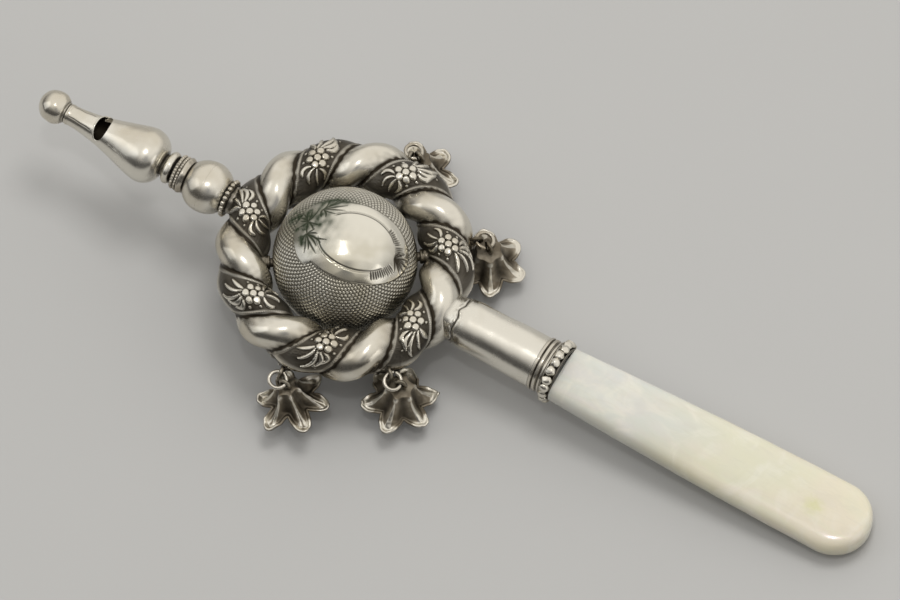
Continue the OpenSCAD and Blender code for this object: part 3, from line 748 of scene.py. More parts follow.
def ball_shell(way):
    """Half of the ball with its grain: the front with the cartouche for way 1, the plainer back for -1."""
    rows = int(math.pi / 2 * BALL_R / GRAIN_ROW * ROW_SAMPLES)
    columns = GRAINS_ROUND * COLUMN_SAMPLES
    polar = (np.linspace(0.0015, np.pi / 2, rows))[:, None]
    bearing = np.linspace(0, 2 * np.pi, columns, endpoint=False)[None, :]
    far = BALL_R * polar
    x, y = far * np.cos(bearing), far * np.sin(bearing)
    row = far / GRAIN_ROW
    column = bearing * GRAINS_ROUND / (2 * np.pi) + 0.5 * (np.floor(row) % 2)
    d2 = (2 * (row % 1) - 1) ** 2 + (2 * (column % 1) - 1) ** 2
    grain = np.sqrt(held(1 - 0.82 * d2**1.2))
    if way > 0:
        place = oval_place(x - OVAL_AT, y, OVAL_OUT)[0]
        place_in, turn_in = oval_place(x - OVAL_AT, y, OVAL_IN)
        rim_width = BAND_MEAN
        cuts = cut_depth(x - OVAL_AT, y, cuts_front())
        open_left = held((apart(turn_in, 163) - 24) / 8)
        open_right = held((apart(turn_in, -8) - 30) / 4)
        inner_line = held(1.3 - np.abs(place_in - 1) * OVAL_MEAN / 0.13) * open_left * open_right
        second_line = held(1.3 - np.abs(place_in - 1.055) * OVAL_MEAN / 0.07) * open_left * open_right
        inner_line = np.maximum(inner_line, 0.7 * second_line)
        # The grain also stops short of the leaves at the left and at the top
        bare_left = (x + 7.4) ** 2 / 6 + (y - 1.6) ** 2 / 26
        place = np.minimum(place, 0.35 + 0.65 * bare_left)
        bare_top = (x + 3.2) ** 2 / 22 + (y - 6.6) ** 2 / 5
        place = np.minimum(place, 0.35 + 0.65 * bare_top)
    else:
        place = np.hypot(x, y) / BACK_R
        rim_width = BACK_R
        cuts = cut_depth(x, y, cuts_back())
        inner_line = held(1.3 - np.abs(np.hypot(x, y) - BACK_RING_R) / 0.12)
    grained = held((place - 1) * rim_width / 0.12)
    outline = held(1.2 - np.abs(place - 1) * rim_width / 0.13)
    carved = np.maximum(np.maximum(cuts, inner_line), 0.85 * outline)
    radius = (BALL_R - 0.03 - 0.27 * grained * (1 - grain) - 0.13 * carved * (1 - 0.6 * grained)
              + 0.02 * (1 - grained))
    seam = held((np.pi / 2 - polar) / 0.02)
    radius = radius - 0.07 * (1 - seam)
    dark = np.maximum(grained * held(1.02 - grain * 1.05) ** 0.8 * 1.12, carved)
    # Painted shade: each half darkens towards its rim, where the ball sits just inside the ring
    dark = held(np.maximum(dark, 0.15 * held((far - 16.5) / 3.4)))
    flat = np.stack([x, y, 0 * x], -1)
    radius = radius + 0.035 * (1 - grained) * ripple(flat, 5, 3 + way)
    radius = np.minimum(radius, BALL_R)
    green = np.zeros(x.shape)
    if way > 0:
        for px, py, wide, tall, strength in GREEN_PATCHES:
            away = ((x - px) / wide) ** 2 + ((y - py) / tall) ** 2
            green = np.maximum(green, min(1, 1.8 * strength) * np.exp(-(away**1.1) * 0.8))
        green = held(green * (1 + 0.35 * ripple(flat, 1.7, 77)))
        green = np.maximum(green, 0.9 * carved * held(green * 3))
    level = np.cos(bearing)[..., None] * PIN_WAY + np.sin(bearing)[..., None] * BALL_UP
    direction = np.cos(polar)[..., None] * (way * POLE) + np.sin(polar)[..., None] * level
    points = radius[..., None] * direction
    rim = points[-1]
    lip = np.stack([rim * (1 - k / BALL_R) for k in (0.25, 0.6)])
    points = np.concatenate([points, lip])
    beside = points - (points @ PIN_WAY)[..., None] * PIN_WAY
    away = np.linalg.norm(beside, axis=-1)
    in_hole = (away < PIN_HOLE_R) & (np.abs(points @ PIN_WAY) > 5)
    grow = np.where(in_hole, PIN_HOLE_R / np.maximum(away, 1e-6), 1)
    points = (points - beside) + beside * grow[..., None]
    pad = np.zeros((2, columns))
    made = {"dark": dark, "green": green, "matte": 0.15 * grained}
    layers = {n: np.concatenate([v + 0 * x, pad]).ravel() for n, v in made.items()}
    layers["dark"] = np.maximum(layers["dark"], in_hole.ravel() * 1.0)
    faces = quads(rows + 2, columns, False, True)
    keep = ~in_hole.ravel()[faces].all(1)
    return points.reshape(-1, 3), faces[keep], layers


add_piece("ball_shell_upper", ball_shell(1), ball_silver, "ball", ["ball_front"], sharp=None)
add_piece("ball_shell_lower", ball_shell(-1), ball_silver, "ball", ["ball_back"], sharp=None)


# Pin, and the sleeves in the rope ----------------------------------------------------
ALONG_PIN = LIE @ spin("z", ROPE_PHASE)
pin_outline = [(0.04, -BOSS_TO), (PIN_R, -BOSS_TO), (PIN_R, BOSS_TO), (0.04, BOSS_TO)]
add_piece("ball_pin_wire", dented(lathed(pin_outline, 0.15, 0.8, 48, 1), 0.012, 3, 9), inner, "rattle",
          ["ball_pin"], ALONG_PIN)
for side, node in ((-1, "pin_boss_near"), (1, "pin_boss_far")):
    sleeve = [(PIN_R, BOSS_FROM), (BOSS_R - 0.1, BOSS_FROM), (BOSS_R, BOSS_FROM + 0.25),
              (BOSS_R - 0.12, BOSS_FROM + 0.7), (BOSS_R, BOSS_FROM + 1.0), (BOSS_R, BOSS_TO),
              (PIN_R, BOSS_TO)]
    sleeve = dented(lathed(sleeve, 0.08, 0.3, 72, side), 0.015, 2, 20 + side)
    add_piece(node + "_sleeve", sleeve, oxidised, "rattle", [node], ALONG_PIN)


# Whistle -----------------------------------------------------------------------------
def smooth(t):
    t = held(t)
    return t * t * (3 - 2 * t)


def barrel_radius(s):
    s = np.asarray(s, float)
    neck = BULB_R + (NECK_R - BULB_R) * smooth(held((s - BULB_AT) / (NECK_END - BULB_AT)) ** 0.72)
    drop = (BULB_AT - s) / (BULB_AT - BULB_END)
    end = REEL_NECK_R + (BULB_R - REEL_NECK_R) * np.sqrt(held(1 - drop**2))
    return np.where(s > BULB_AT, neck, end)


def whistle_barrel():
    s = BULB_END + (NECK_END - BULB_END) * np.linspace(0, 1, 170) ** 1.12
    outer = np.stack([barrel_radius(s), s], 1)
    s_in = np.linspace(NECK_END, BULB_END + SHEET + 0.05, 60)
    bore = np.stack([barrel_radius(s_in) - SHEET, s_in], 1)
    outline = np.concatenate([[(AXLE_R, BULB_END)], outer, bore, [(AXLE_R, BULB_END + SHEET)]])
    points, faces = turned(outline, 220, -1)
    angle = np.degrees(np.arctan2(points[:, 1], points[:, 2]))
    station = -points[:, 0]
    skin = across_axis(points) > barrel_radius(np.clip(station, BULB_END, NECK_END)) - 0.1
    groove = np.zeros(len(points))
    for centre, drift, low, high, half in ((-52, 0.4, 42.6, 46.6, 1.3), (-40, 1.2, 50.2, 55.0, 3.4),
                                           (30, 2, 50.4, 54.8, 3.0)):
        line = centre + drift * np.sin(station * 2.6) + (station - low) * 1.5
        fit = held(1.3 - np.abs(angle - line) / half) * held((station - low) * 3) * held((high - station) * 3)
        groove = np.maximum(groove, fit)
    groove = groove * skin
    neck = held(1 - np.abs(station - (NECK_END - 0.4)) / 0.35) * skin
    dents = 0.008 * ripple(points, 6.5, 41) + 0.0015 * ripple(points, 2.2, 42)
    points[:, 1:] *= (1 + dents * skin - 0.03 * groove / 2 + 0.05 * neck)[:, None]
    bore = ~skin & (station > BULB_END + 0.3)
    dark = np.maximum(0.75 * groove + 0.5 * neck * (np.sin(station * 30) > 0.4), bore * 1.0)
    return points, faces, {"dark": dark, "matte": 0.2 * groove + bore}


def window_edge(angle, grow=0.0):
    """The window's outline: straighter towards the bulb, rounder towards the mouth."""
    c, w = np.cos(angle), np.sin(angle)
    half = (WINDOW_BACK - LIP_AT) / 2 + grow
    along = (LIP_AT + WINDOW_BACK) / 2 + half * np.sign(c) * np.abs(c) ** np.where(c > 0, 0.95, 0.6)
    return along, (WINDOW_R + grow) * np.sign(w) * np.abs(w) ** 0.85


def window_cutter():
    """A slot with a straight lip and a round back, a little wider above the barrel's skin at the back."""
    sides = 64
    angle = np.radians(np.linspace(-180, 180, sides + 1)[:-1])
    ring = np.stack(window_edge(angle), 1)
    levels = ((-0.2, 0.0), (1.9, 0.0), (3.4, 0.5))
    points = []
    for z, grow in levels:
        level = ring.copy()
        level[:, 0] += grow * held((ring[:, 0] - LIP_AT) / 1.2)
        points.append(np.stack([-level[:, 0], level[:, 1] * (1 + grow * 0.12), np.full(len(level), z)], 1))
    points = np.concatenate(points)
    faces = quads(len(levels), sides, False, True)
    ends = np.array([points[:sides].mean(0), points[-sides:].mean(0)])
    n, top = len(points), (len(levels) - 1) * sides
    caps = [[k, (k + 1) % sides, n] for k in range(sides)]
    caps += [[top + (k + 1) % sides, top + k, n + 1] for k in range(sides)]
    mesh = bpy.data.meshes.new("window_cutter")
    world = carried(np.concatenate([points, ends]), LIE) * TO_METRES
    mesh.from_pydata(world.tolist(), [], outward(points, faces).tolist() + caps)
    cutter = linked("window_cutter", mesh)
    bpy.context.view_layer.objects.active = cutter
    cutter.select_set(True)
    bpy.ops.object.mode_set(mode="EDIT")
    bpy.ops.mesh.select_all(action="SELECT")
    bpy.ops.mesh.normals_make_consistent(inside=False)
    bpy.ops.object.mode_set(mode="OBJECT")
    cutter.select_set(False)
    return cutter


barrel = whistle_barrel()
barrel = add_piece("whistle_barrel_shell", barrel, polished, "rattle", ["whistle_barrel"],
                   sharp=None)
cutter = window_cutter()
slot = barrel.modifiers.new("window", "BOOLEAN")
slot.operation, slot.solver, slot.object = "DIFFERENCE", "EXACT", cutter
bpy.context.view_layer.objects.active = barrel
bpy.ops.object.modifier_apply(modifier=slot.name)
bpy.data.objects.remove(cutter)
barrel.data.set_sharp_from_angle(angle=math.radians(45))


def window_lip():
    """A raised wire along the back and the ends of the window."""
    angle = np.radians(np.linspace(-118, 118, 90))
    s_at, y_at = window_edge(angle, 0.03)
    skin = barrel_radius(s_at)
    z_at = np.sqrt(np.clip(skin**2 - y_at**2, 0.3, None))
    line = np.stack([-s_at, y_at, z_at - 0.02], 1)
    tangent = np.gradient(line, axis=0)
    tangent /= np.linalg.norm(tangent, axis=1, keepdims=True)
    out = np.stack([0 * s_at, y_at, z_at], 1)
    out -= (out * tangent).sum(1, keepdims=True) * tangent
    out /= np.linalg.norm(out, axis=1, keepdims=True)
    side = np.cross(tangent, out)
    wire = 0.15 * np.clip(np.sin(np.linspace(0, np.pi, 90)) * 2.5, 0.25, 1)[:, None]
    around = np.linspace(0, 2 * np.pi, 14, endpoint=False)
    points = line[:, None] + wire[..., None] * (np.cos(around)[None, :, None] * out[:, None]
                                                + np.sin(around)[None, :, None] * side[:, None])
    return points.reshape(-1, 3), quads(90, 14, False, True)


add_piece("whistle_window_lip", window_lip(), polished, "rattle", ["whistle_barrel"])


def knob():
    """A hollow ball with a blow hole at its tip and a soldered collar."""
    flat_at = KNOB_AT - NECK_END
    start = math.acos(-flat_at / KNOB_R)
    groove_at = start - 0.24
    arc = [(KNOB_R * math.sin(a) - 0.16 * math.exp(-(((a - groove_at) / 0.06) ** 2)),
            KNOB_AT + KNOB_R * math.cos(a)) for a in np.linspace(0.24, start, 90)]
    neck = [(0.7, arc[-1][1])]
    points, faces = dented(turned(np.array(arc + neck + [(0.7, arc[0][1])]), 120, -1), 0.012, 2.6, 51)
    from_groove = -points[:, 0] - (KNOB_AT + KNOB_R * math.cos(groove_at))
    at_neck = held(1 - (-points[:, 0] - NECK_END) / 0.5)
    dark = np.maximum(at_neck * 0.8, 0.7 * hump(from_groove, 0, 0.14))
    return points, faces, {"dark": dark}


add_piece("mouthpiece_knob_ball", knob(), polished, "rattle", ["mouthpiece_knob"])
REEL_RING_AT, REEL_RING_R = 2.1, 0.85
arc = [(REEL_RING_AT + REEL_RING_R * math.cos(a), REEL_AT + REEL_RING_R * math.sin(a))
       for a in np.linspace(-1.5, 1.5, 18)]
reel = [(AXLE_R, MILLED_TO), (REEL_NECK_R, MILLED_TO), *arc, (REEL_NECK_R, BULB_END), (AXLE_R, BULB_END)]
points, faces = dented(turned(dense(reel, 0.25), 140, -1), 0.02, 2.4, 52)
reel_dark = held(1 - (across_axis(points) - REEL_NECK_R) / 0.5)
add_piece("reel_collar_ring", (points, faces, {"dark": reel_dark}), polished, "rattle", ["reel_collar"])


def milled_ring():
    """Two rows of small worn bosses, one row half a step on from the other."""
    valley, row_wide = 2.86, (MILLED_TO - MILLED_FROM) / 2
    s = np.linspace(MILLED_FROM, MILLED_TO, 29)
    a = np.linspace(0, 2 * np.pi, 384, endpoint=False)
    row = held(np.floor((s - MILLED_FROM) / row_wide))
    across = held(np.sin(np.pi * ((s - MILLED_FROM) % row_wide) / row_wide))
    across[-1] = 0
    uneven = 1 + 0.35 * np.sin(a * 5 + 1) * np.sin(a * 11 + 2)
    boss = np.abs(np.sin(16 * a[None, :] + row[:, None] * np.pi / 2 + 0.6 * across[:, None])) ** 0.7
    radius = (valley + 0.39 * (across[:, None] ** 0.6)
              * (0.35 + 0.65 * boss * np.clip(uneven, 0.6, 1.2)[None, :]))
    radius = np.minimum(radius, MILLED_R)
    points = np.stack([-s[:, None] + 0 * a, radius * np.cos(a), radius * np.sin(a)], -1)
    hub = [np.stack([np.full(len(a), -x), AXLE_R * np.cos(a), AXLE_R * np.sin(a)], -1)
           for x in (MILLED_TO, MILLED_FROM)]
    dark = np.concatenate([held(1 - (radius - valley) / 0.28), np.ones((2, len(a)))])
    points = np.concatenate([points, hub])
    layers = {"dark": dark.ravel(), "matte": np.full(dark.size, 0.3)}
    return points.reshape(-1, 3), quads(len(s) + 2, len(a), True, True), layers


add_piece("milled_ring_coil", milled_ring(), worn, "rattle", ["milled_ring"], sharp=None)
cup = [(AXLE_R, CUP_FROM), (2.6, CUP_FROM), (3.0, CUP_FROM + 0.35), (3.32, CUP_FROM + 0.9),
       (3.35, MILLED_FROM - 0.2), (3.28, MILLED_FROM), (AXLE_R, MILLED_FROM)]
cup = dented(lathed(cup, 0.08, 0.15, 140), 0.016, 2.0, 53)
add_piece("cup_ring_plate", cup, worn, "rattle", ["cup_ring"])


def knop_half(low, high, seed):
    s = np.linspace(low, high, 60)
    radius = np.sqrt(np.clip(KNOP_R**2 - (s - KNOP_AT) ** 2, 0.01, None))
    seam = hump(s, KNOP_AT, 0.09)
    outer = np.stack([radius - 0.015 * seam, s], 1)
    inner_side = np.stack([np.sqrt(np.clip((KNOP_R - SHEET) ** 2 - (s[::-3] - KNOP_AT) ** 2, 0.01, None)),
                           s[::-3]], 1)
    points, faces = turned(np.concatenate([outer, inner_side]), 180, -1)
    away = across_axis(points)
    station = -points[:, 0]
    skin = away > KNOP_R - 3.2
    points[:, 1:] *= (1 + skin * (0.008 * ripple(points, 4.5, seed)
                                  + 0.001 * ripple(points, 1.6, seed + 1)))[:, None]
    end = CUP_FROM if high > KNOP_AT else KNOP_FROM
    dark = 0.12 * hump(station, KNOP_AT, 0.08) + held(1 - np.abs(station - end) / 0.35)
    return points, faces, {"dark": held(dark)}


add_piece("knop_shell_upper", knop_half(KNOP_AT, CUP_FROM, 55), polished, "rattle", ["knop_upper"])
add_piece("knop_shell_lower", knop_half(KNOP_FROM, KNOP_AT, 55), polished, "rattle", ["knop_lower"])


def faceted_bead(radius, seed, facets=13, cut=0.9, rings=15, steps=22):
    """A bead worn to uneven facets."""
    points, faces = globe(radius, rings, steps)
    r = np.random.default_rng(seed)
    for _ in range(facets):
        way = unit(r.normal(size=3))
        over = points @ way - radius * (cut + r.uniform(-0.03, 0.05))
        points = points - np.clip(over, 0, None)[:, None] * way
    return points, faces


def bead_row(count, circle, radius, station, side, seed, cut, facets, shape=(1, 1, 1)):
    parts = []
    r = np.random.default_rng(seed)
    for k in range(count):
        around = 2 * np.pi * (k + 0.5) / count + r.normal() * 0.012
        points, faces = faceted_bead(radius * (1 + r.normal() * 0.02), seed + 7 * k, facets, cut)
        points = points * shape
        place = spin("x", math.degrees(around)) @ shift(side * station + r.normal() * 0.02, circle, 0)
        below = held((radius * 0.05 - points[:, 1]) / (radius * 0.6))
        parts.append((*moved((points, faces), place), {"dark": below * 0.9}))
    return parts


collar = [(1.6, FLANGE_FROM), (2.75, FLANGE_FROM), (2.95, FLANGE_FROM + 0.2), (2.95, KNOP_FROM - 0.2),
          (2.75, KNOP_FROM), (1.6, KNOP_FROM)]
flange = lathed(collar, 0.06, 0.2, 120)
flange_dark = np.full(len(flange[0]), 0.85)
whistle_beads = ([(*flange, {"dark": flange_dark})]
                 + bead_row(20, 3.05, 0.47, (FLANGE_FROM + KNOP_FROM) / 2, -1, 300, 0.96, 6))
add_piece("bead_ring_beads", joined(whistle_beads), worn, "rattle", ["bead_ring"], sharp=None)
seat = [(AXLE_R, SEAT_FROM), (SEAT_R - 0.4, SEAT_FROM), (SEAT_R - 0.2, SEAT_FROM + 0.6),
        (SEAT_R, SEAT_FROM + 1.2), (SEAT_R, FLANGE_FROM), (AXLE_R, FLANGE_FROM)]
points, faces = dented(lathed(seat, 0.1, 0.15, 140), 0.03, 1.5, 71)
add_piece("ring_cup_seat", (points, faces, {"dark": np.full(len(points), 0.5)}), worn, "rattle",
          ["ring_cup"])


# Ferrule and its collar --------------------------------------------------------------
def ferrule_radius(x):
    rise = (SHOULDER_R + (FERRULE_R - 0.25 - SHOULDER_R)
            * smooth((x - FERRULE_FROM) / (SHOULDER_AT - FERRULE_FROM)))
    return rise + 0.25 * smooth((x - SHOULDER_AT) / (FERRULE_TO - SHOULDER_AT))


def ferrule():
    """A drawn tube with a rounded shoulder, a rough solder seam at the rope, and soft dents."""
    x = np.linspace(FERRULE_FROM, FERRULE_TO, 200)
    outer = np.stack([ferrule_radius(x), x], 1)
    x_in = np.linspace(FERRULE_TO, FERRULE_FROM, 40)
    inner_side = np.stack([ferrule_radius(x_in) - SHEET, x_in], 1)
    points, faces = turned(np.concatenate([outer, inner_side]), 220, 1)
    away, station = across_axis(points), points[:, 0]
    skin = away > ferrule_radius(station) - 0.2
    wave = 0.25 * ripple(points * (0, 1, 1), 3.2, 81)
    seam_at, dent_at = 23.1 + 1.1 * wave, 27.5
    seam = hump(station, seam_at, 0.13)
    solder = hump(station, seam_at - 0.45, 0.42) * (0.6 + 0.4 * ripple(points, 0.9, 82))
    solder += 0.5 * hump(station, seam_at + 0.5, 0.3)
    dent = 0.0336 * hump(station, dent_at, 2.2) * hump(points[:, 1], -0.5, 1.6) * (points[:, 2] > 0)
    swell = 0.05 * ripple(points, 8, 83) + 0.004 * ripple(points, 2.4, 84)
    change = swell + 0.09 * solder - 0.17 * seam - dent
    points[:, 1:] *= (1 + skin * change / np.maximum(away, 1))[:, None]
    dark = held(seam * 1.1 + 0.35 * solder * held(ripple(points, 0.7, 85))) * skin
    dark = np.maximum(dark, 0.85 * held((station - (FERRULE_TO - 0.15)) / 0.15))
    dark = np.maximum(dark, held(1 - (station - FERRULE_FROM) / 1.2) * 0.7)
    return points, faces, {"dark": dark, "matte": 0.5 * solder * skin}


add_piece("ferrule_tube", ferrule(), polished, "rattle", ["ferrule"], sharp=60)
top, low = FERRULE_R + 0.15, FERRULE_R - 0.16
steps = ((top - 0.05, 0), (top, 0.15), (top, 0.45), (low, 0.55), (low + 0.1, 0.75), (top, 0.85),
         (top + 0.03, 1.1), (top, 1.35), (low + 0.1, 1.45), (low, 1.65), (top - 0.1, 1.75),
         (top, 2.1), (top - 0.1, 2.2))
band = [(BORE_R, FERRULE_TO), *((r, FERRULE_TO + s) for r, s in steps), (BORE_R, BAND_TO)]
points, faces = dented(lathed(band, 0.05, 0.1, 180, 1), 0.008, 2.5, 86)
band_dark = held(1 - (across_axis(points) - low) / 0.22)
add_piece("ferrule_band_grooved", (points, faces, {"dark": band_dark}), worn, "rattle", ["ferrule_band"])
lip_r = 4.85
steps = ((lip_r, 0), (lip_r + 0.1, 0.1), (lip_r + 0.1, 0.25), (4.6, 0.4), (4.6, 1.8), (4.8, 1.9),
         (lip_r, 2.05), (4.75, 2.2))
rim = [(BORE_R, BAND_TO), *((r, BAND_TO + s) for r, s in steps), (BORE_R, COLLAR_TO)]
points, faces = lathed(rim, 0.05, 0.12, 160, 1)
rim_dark = np.clip(1 - (across_axis(points) - 4.75) / 0.3, 0.15, 1)
collar_parts = ([(points, faces, {"dark": rim_dark})]
                + bead_row(20, 5.26, 0.88, (BAND_TO + COLLAR_TO) / 2, 1, 500, 0.8, 8, (1.06, 0.78, 1.08)))
add_piece("ferrule_collar_beads", joined(collar_parts), chased, "rattle", ["ferrule_bead_ring"],
          sharp=24)


# Handle ------------------------------------------------------------------------------
def handle_slab():
    """A slab with softly rounded edges that widens to a round end."""
    half, end_x = HANDLE_W / 2, HANDLE_TIP - HANDLE_W / 2
    x = np.concatenate([np.linspace(24.0, COLLAR_TO - 0.2, 12), np.linspace(COLLAR_TO, end_x, 150),
                        end_x + half * np.sin(np.linspace(0, np.pi / 2, 60)[1:-1]), [HANDLE_TIP - 0.004]])
    t = held((x - COLLAR_TO) / (end_x - COLLAR_TO))
    wide = HANDLE_START_W / 2 + (half - HANDLE_START_W / 2) * (1 - (1 - t) ** 1.8)
    cap = np.sqrt(np.clip(half**2 - np.clip(x - end_x, 0, None) ** 2, 0, None))
    wide = np.where(x > end_x, cap, wide)
    depth = held((HANDLE_TIP - x) / HANDLE_EDGE)
    thick = HALF_T * (0.30 + 0.70 * np.sqrt(1 - (1 - depth) ** 2))
    tang = x < COLLAR_TO - 0.1
    wide, thick = np.where(tang, 3.2, wide), np.where(tang, 1.7, thick)
    thick[-1], wide[-1] = 0.02, 0.02
    a = np.linspace(0, 2 * np.pi, 160, endpoint=False)[None, :]
    power = 2 / 2.7
    y = wide[:, None] * np.sign(np.cos(a)) * np.abs(np.cos(a)) ** power
    z = thick[:, None] * np.sign(np.sin(a)) * np.abs(np.sin(a)) ** power
    points = np.stack([x[:, None] + 0 * a, y, z], -1).reshape(-1, 3)
    swell = ripple(points, 22, 91, 4)
    points[:, 2] *= 1 - 0.012 * np.abs(swell)
    points[:, 1] *= 1 - 0.004 * np.abs(ripple(points, 17, 92, 4))
    return points, quads(len(x), 160, False, True)


add_piece("handle_slab_pearl", handle_slab(), pearl, "rattle", ["handle"], sharp=60)


# Bells -------------------------------------------------------------------------------
BELL_AROUND, BELL_DOWN = 280, 72
HUB_R, HUB_RISE, BELL_WALL, RIM_WALL, LIP_OUT = 0.34, 0.16, 0.28, 0.2, 0.14
# How sharply each bell is folded into ribs, from 0 for soft broad petals to 1 for thin ribs with flared tips
FOLDED = (0.15, 1.0, 0.6, 0.0)


def bell_skin(share, around, i):
    """The bell's outside: a knuckled crown, six ribs that fork on their way down, and flared tips."""
    r = np.random.default_rng(700 + i)
    fold = FOLDED[i]
    step = 360 / PETALS
    degrees = np.degrees(around)
    petal = np.round(degrees / step).astype(int) % PETALS
    off = (degrees + step / 2) % step - step / 2
    off = off + (r.uniform(-4, 4, PETALS)[petal] * np.cos(np.radians(off * 180 / step))) * share
    reach = r.uniform(0.88, 1.0, PETALS)[petal]
    droop = r.uniform(-0.35, 0.25, PETALS)[petal]
    lobe = held(0.5 + 0.5 * np.cos(np.radians(off * 360 / step)))
    lobe = lobe ** ((1.0 + 1.5 * fold) * (1 - share**2.2) + (0.62 + 0.15 * fold) * share**2.2)
    fork = (0.8 + 4.6 * share**1.4) * (0.6 + 0.5 * fold)
    line = (hump(np.abs(off), fork, 2.0 + 0.8 * share) * held((share - 0.12) / 0.1)
            * held((0.93 - share) / 0.1))
    knuckle = hump(share, 0.09, 0.085) * hump(off, 0, 12)
    crown, valley = CROWN_R * (1 - 0.24 * fold), VALLEY_R - 0.3 - 0.5 * fold
    out = crown + share * (valley - crown)
    out = out + lobe * (0.3 + (PETAL_R - 0.3 - valley) * share ** (1.75 - 0.3 * fold)) * reach
    knuckled = 0.34 if i < 2 else 0.1
    out = out + (0.12 + 0.12 * fold) * line + knuckled * knuckle
    fall = (BELL_H - 0.12) * (1 - (1 - share) ** 1.5) - (1 - lobe) * (0.75 + 0.6 * fold) * share**3
    fall = fall - 0.88 * knuckled * knuckle + lobe * droop * share**2
    fall = fall - lobe * (0.25 + 0.5 * fold) * held((share - 0.84) / 0.16) ** 1.7
    return out, fall, line, knuckle, lobe


def bell(i):
    share = np.linspace(0, 1, BELL_DOWN)[:, None]
    around = np.linspace(0, 2 * np.pi, BELL_AROUND, endpoint=False)[None, :]
    out, fall, line, knuckle, lobe = bell_skin(share, around, i)
    skin = np.stack([out * np.cos(around), out * np.sin(around), -CROWN_DROP - fall], -1)
    bent = 0.045 * ripple(skin, 6, 900 + i) + 0.02 * ripple(skin, 1.3, 950 + i)
    skin[..., :2] *= (1 + bent * share**0.7 * 0.8)[..., None]
    skin[..., 2] += 0.12 * share * ripple(skin, 2.6, 970 + i)
    radial = np.hypot(skin[..., 0], skin[..., 1])
    skin[..., :2] *= np.minimum(1, PETAL_R / np.maximum(radial, 1e-6))[..., None]
    hub = np.linspace(HUB_R, 1, 12)[:-1, None, None]
    ease = (hub - HUB_R) / (1 - HUB_R)
    start = skin[:1]
    hole = HUB_R * np.stack([np.cos(around), np.sin(around)], -1)
    hub_top = -CROWN_DROP + HUB_RISE
    top = np.concatenate([hole + (start[..., :2] - hole) * ease,
                          hub_top + (start[..., 2:] + CROWN_DROP - HUB_RISE) * (ease**2.5)], -1)
    skin = np.concatenate([top, skin])
    down, across = np.gradient(skin, axis=0), (np.roll(skin, -1, 1) - np.roll(skin, 1, 1)) / 2
    normal = np.cross(down, across)
    normal /= np.maximum(np.linalg.norm(normal, axis=-1, keepdims=True), 1e-9)
    if (normal[30] * skin[30]).sum() < 0:
        normal = -normal
    n_top = len(top)
    s = np.concatenate([np.zeros((n_top, 1)), share])
    thick = BELL_WALL + RIM_WALL * held((s - 0.92) / 0.08)
    lining = (skin - normal * thick[..., None])[::-1]
    outmost = skin[-1:] - skin[-2:-1]
    reach = np.maximum(np.linalg.norm(outmost, axis=-1, keepdims=True), 1e-9)
    lip = (skin[-1:] + lining[:1]) / 2 + LIP_OUT * outmost / reach
    points = np.concatenate([skin, lip, lining])
    crown = np.zeros((n_top, BELL_AROUND))
    tips = held((lobe - 0.45) / 0.4)
    rim = held((share - 0.95) / 0.03) * (0.1 + 0.9 * tips) + tips * held((share - 0.78) / 0.14)
    line = held(1.6 * line)
    shine = np.concatenate([crown + 0.1, held(np.maximum(np.maximum(line, knuckle), rim))])
    dark = np.concatenate([crown + 0.5, held(1 - lobe) * (1 - 0.6 * rim)]) * (1 - shine)
    matte = np.clip(0.6 - shine, 0.1, 1)
    lined = np.full(lining.shape[:2], 0.85)
    edge = np.ones((1, BELL_AROUND))
    layers = {"dark": np.concatenate([dark, 0 * edge, lined]).ravel(),
              "matte": np.concatenate([matte, 0 * edge, lined]).ravel(),
              "shine": np.concatenate([shine, edge * (0.15 + 0.85 * tips[-1:]), 0 * lined]).ravel()}
    return points.reshape(-1, 3), quads(points.shape[0], BELL_AROUND, True, True), layers


def bell_look():
    """Oxidised silver, brown black, rubbed bright on ribs, knuckles and rims, with dark oxide plus painted
    shade in hollows.
    """
    look = Look("bell_silver")
    broken = look.maths("MULTIPLY", look.maths("SUBTRACT", look.noise(0.8, 5, 0.65), 0.5), 0.9)
    rubbed = look.band(look.maths("ADD", look.layer("shine"), broken, clamp=True), 0.2, 0.8)
    clouds = look.band(look.noise(2.2, 4, 0.6), 0.35, 0.7)
    body = look.colour(clouds, (0.2, 0.168, 0.122), (0.38, 0.335, 0.262))
    base = look.colour(rubbed, body, (0.76, 0.72, 0.63))
    # Painted shade: ambient occlusion darkens hollows and the gaps near other parts, together with the real
    # oxide there
    oxide_and_shade = look.maths("MAXIMUM", look.band(look.hollows(1.8), 0.2, 0.8, 0.9, 0.0),
                        look.maths("MULTIPLY", look.layer("dark"), 0.8))
    kept = look.maths("MULTIPLY", oxide_and_shade, look.maths("SUBTRACT", 1.0, look.maths("MULTIPLY", rubbed, 0.65)))
    base = look.colour(kept, base, (0.03, 0.024, 0.016))
    pits = look.band(look.cells(0.45), 0.0, 0.3)
    rough = look.maths("ADD", look.band(rubbed, 0, 1, 0.36, 0.24),
                       look.maths("MULTIPLY", look.noise(0.5, 4), 0.14))
    normal = look.bump(pits, 0.05, 0.45)
    normal = look.bump(look.noise(0.6, 5, 0.6), 0.09, 0.5, normal)
    look.put(Base_Color=base, Metallic=look.band(rubbed, 0, 1, 0.85, 1.0), Roughness=rough, Normal=normal)
    return look.material


bell_silver = bell_look()


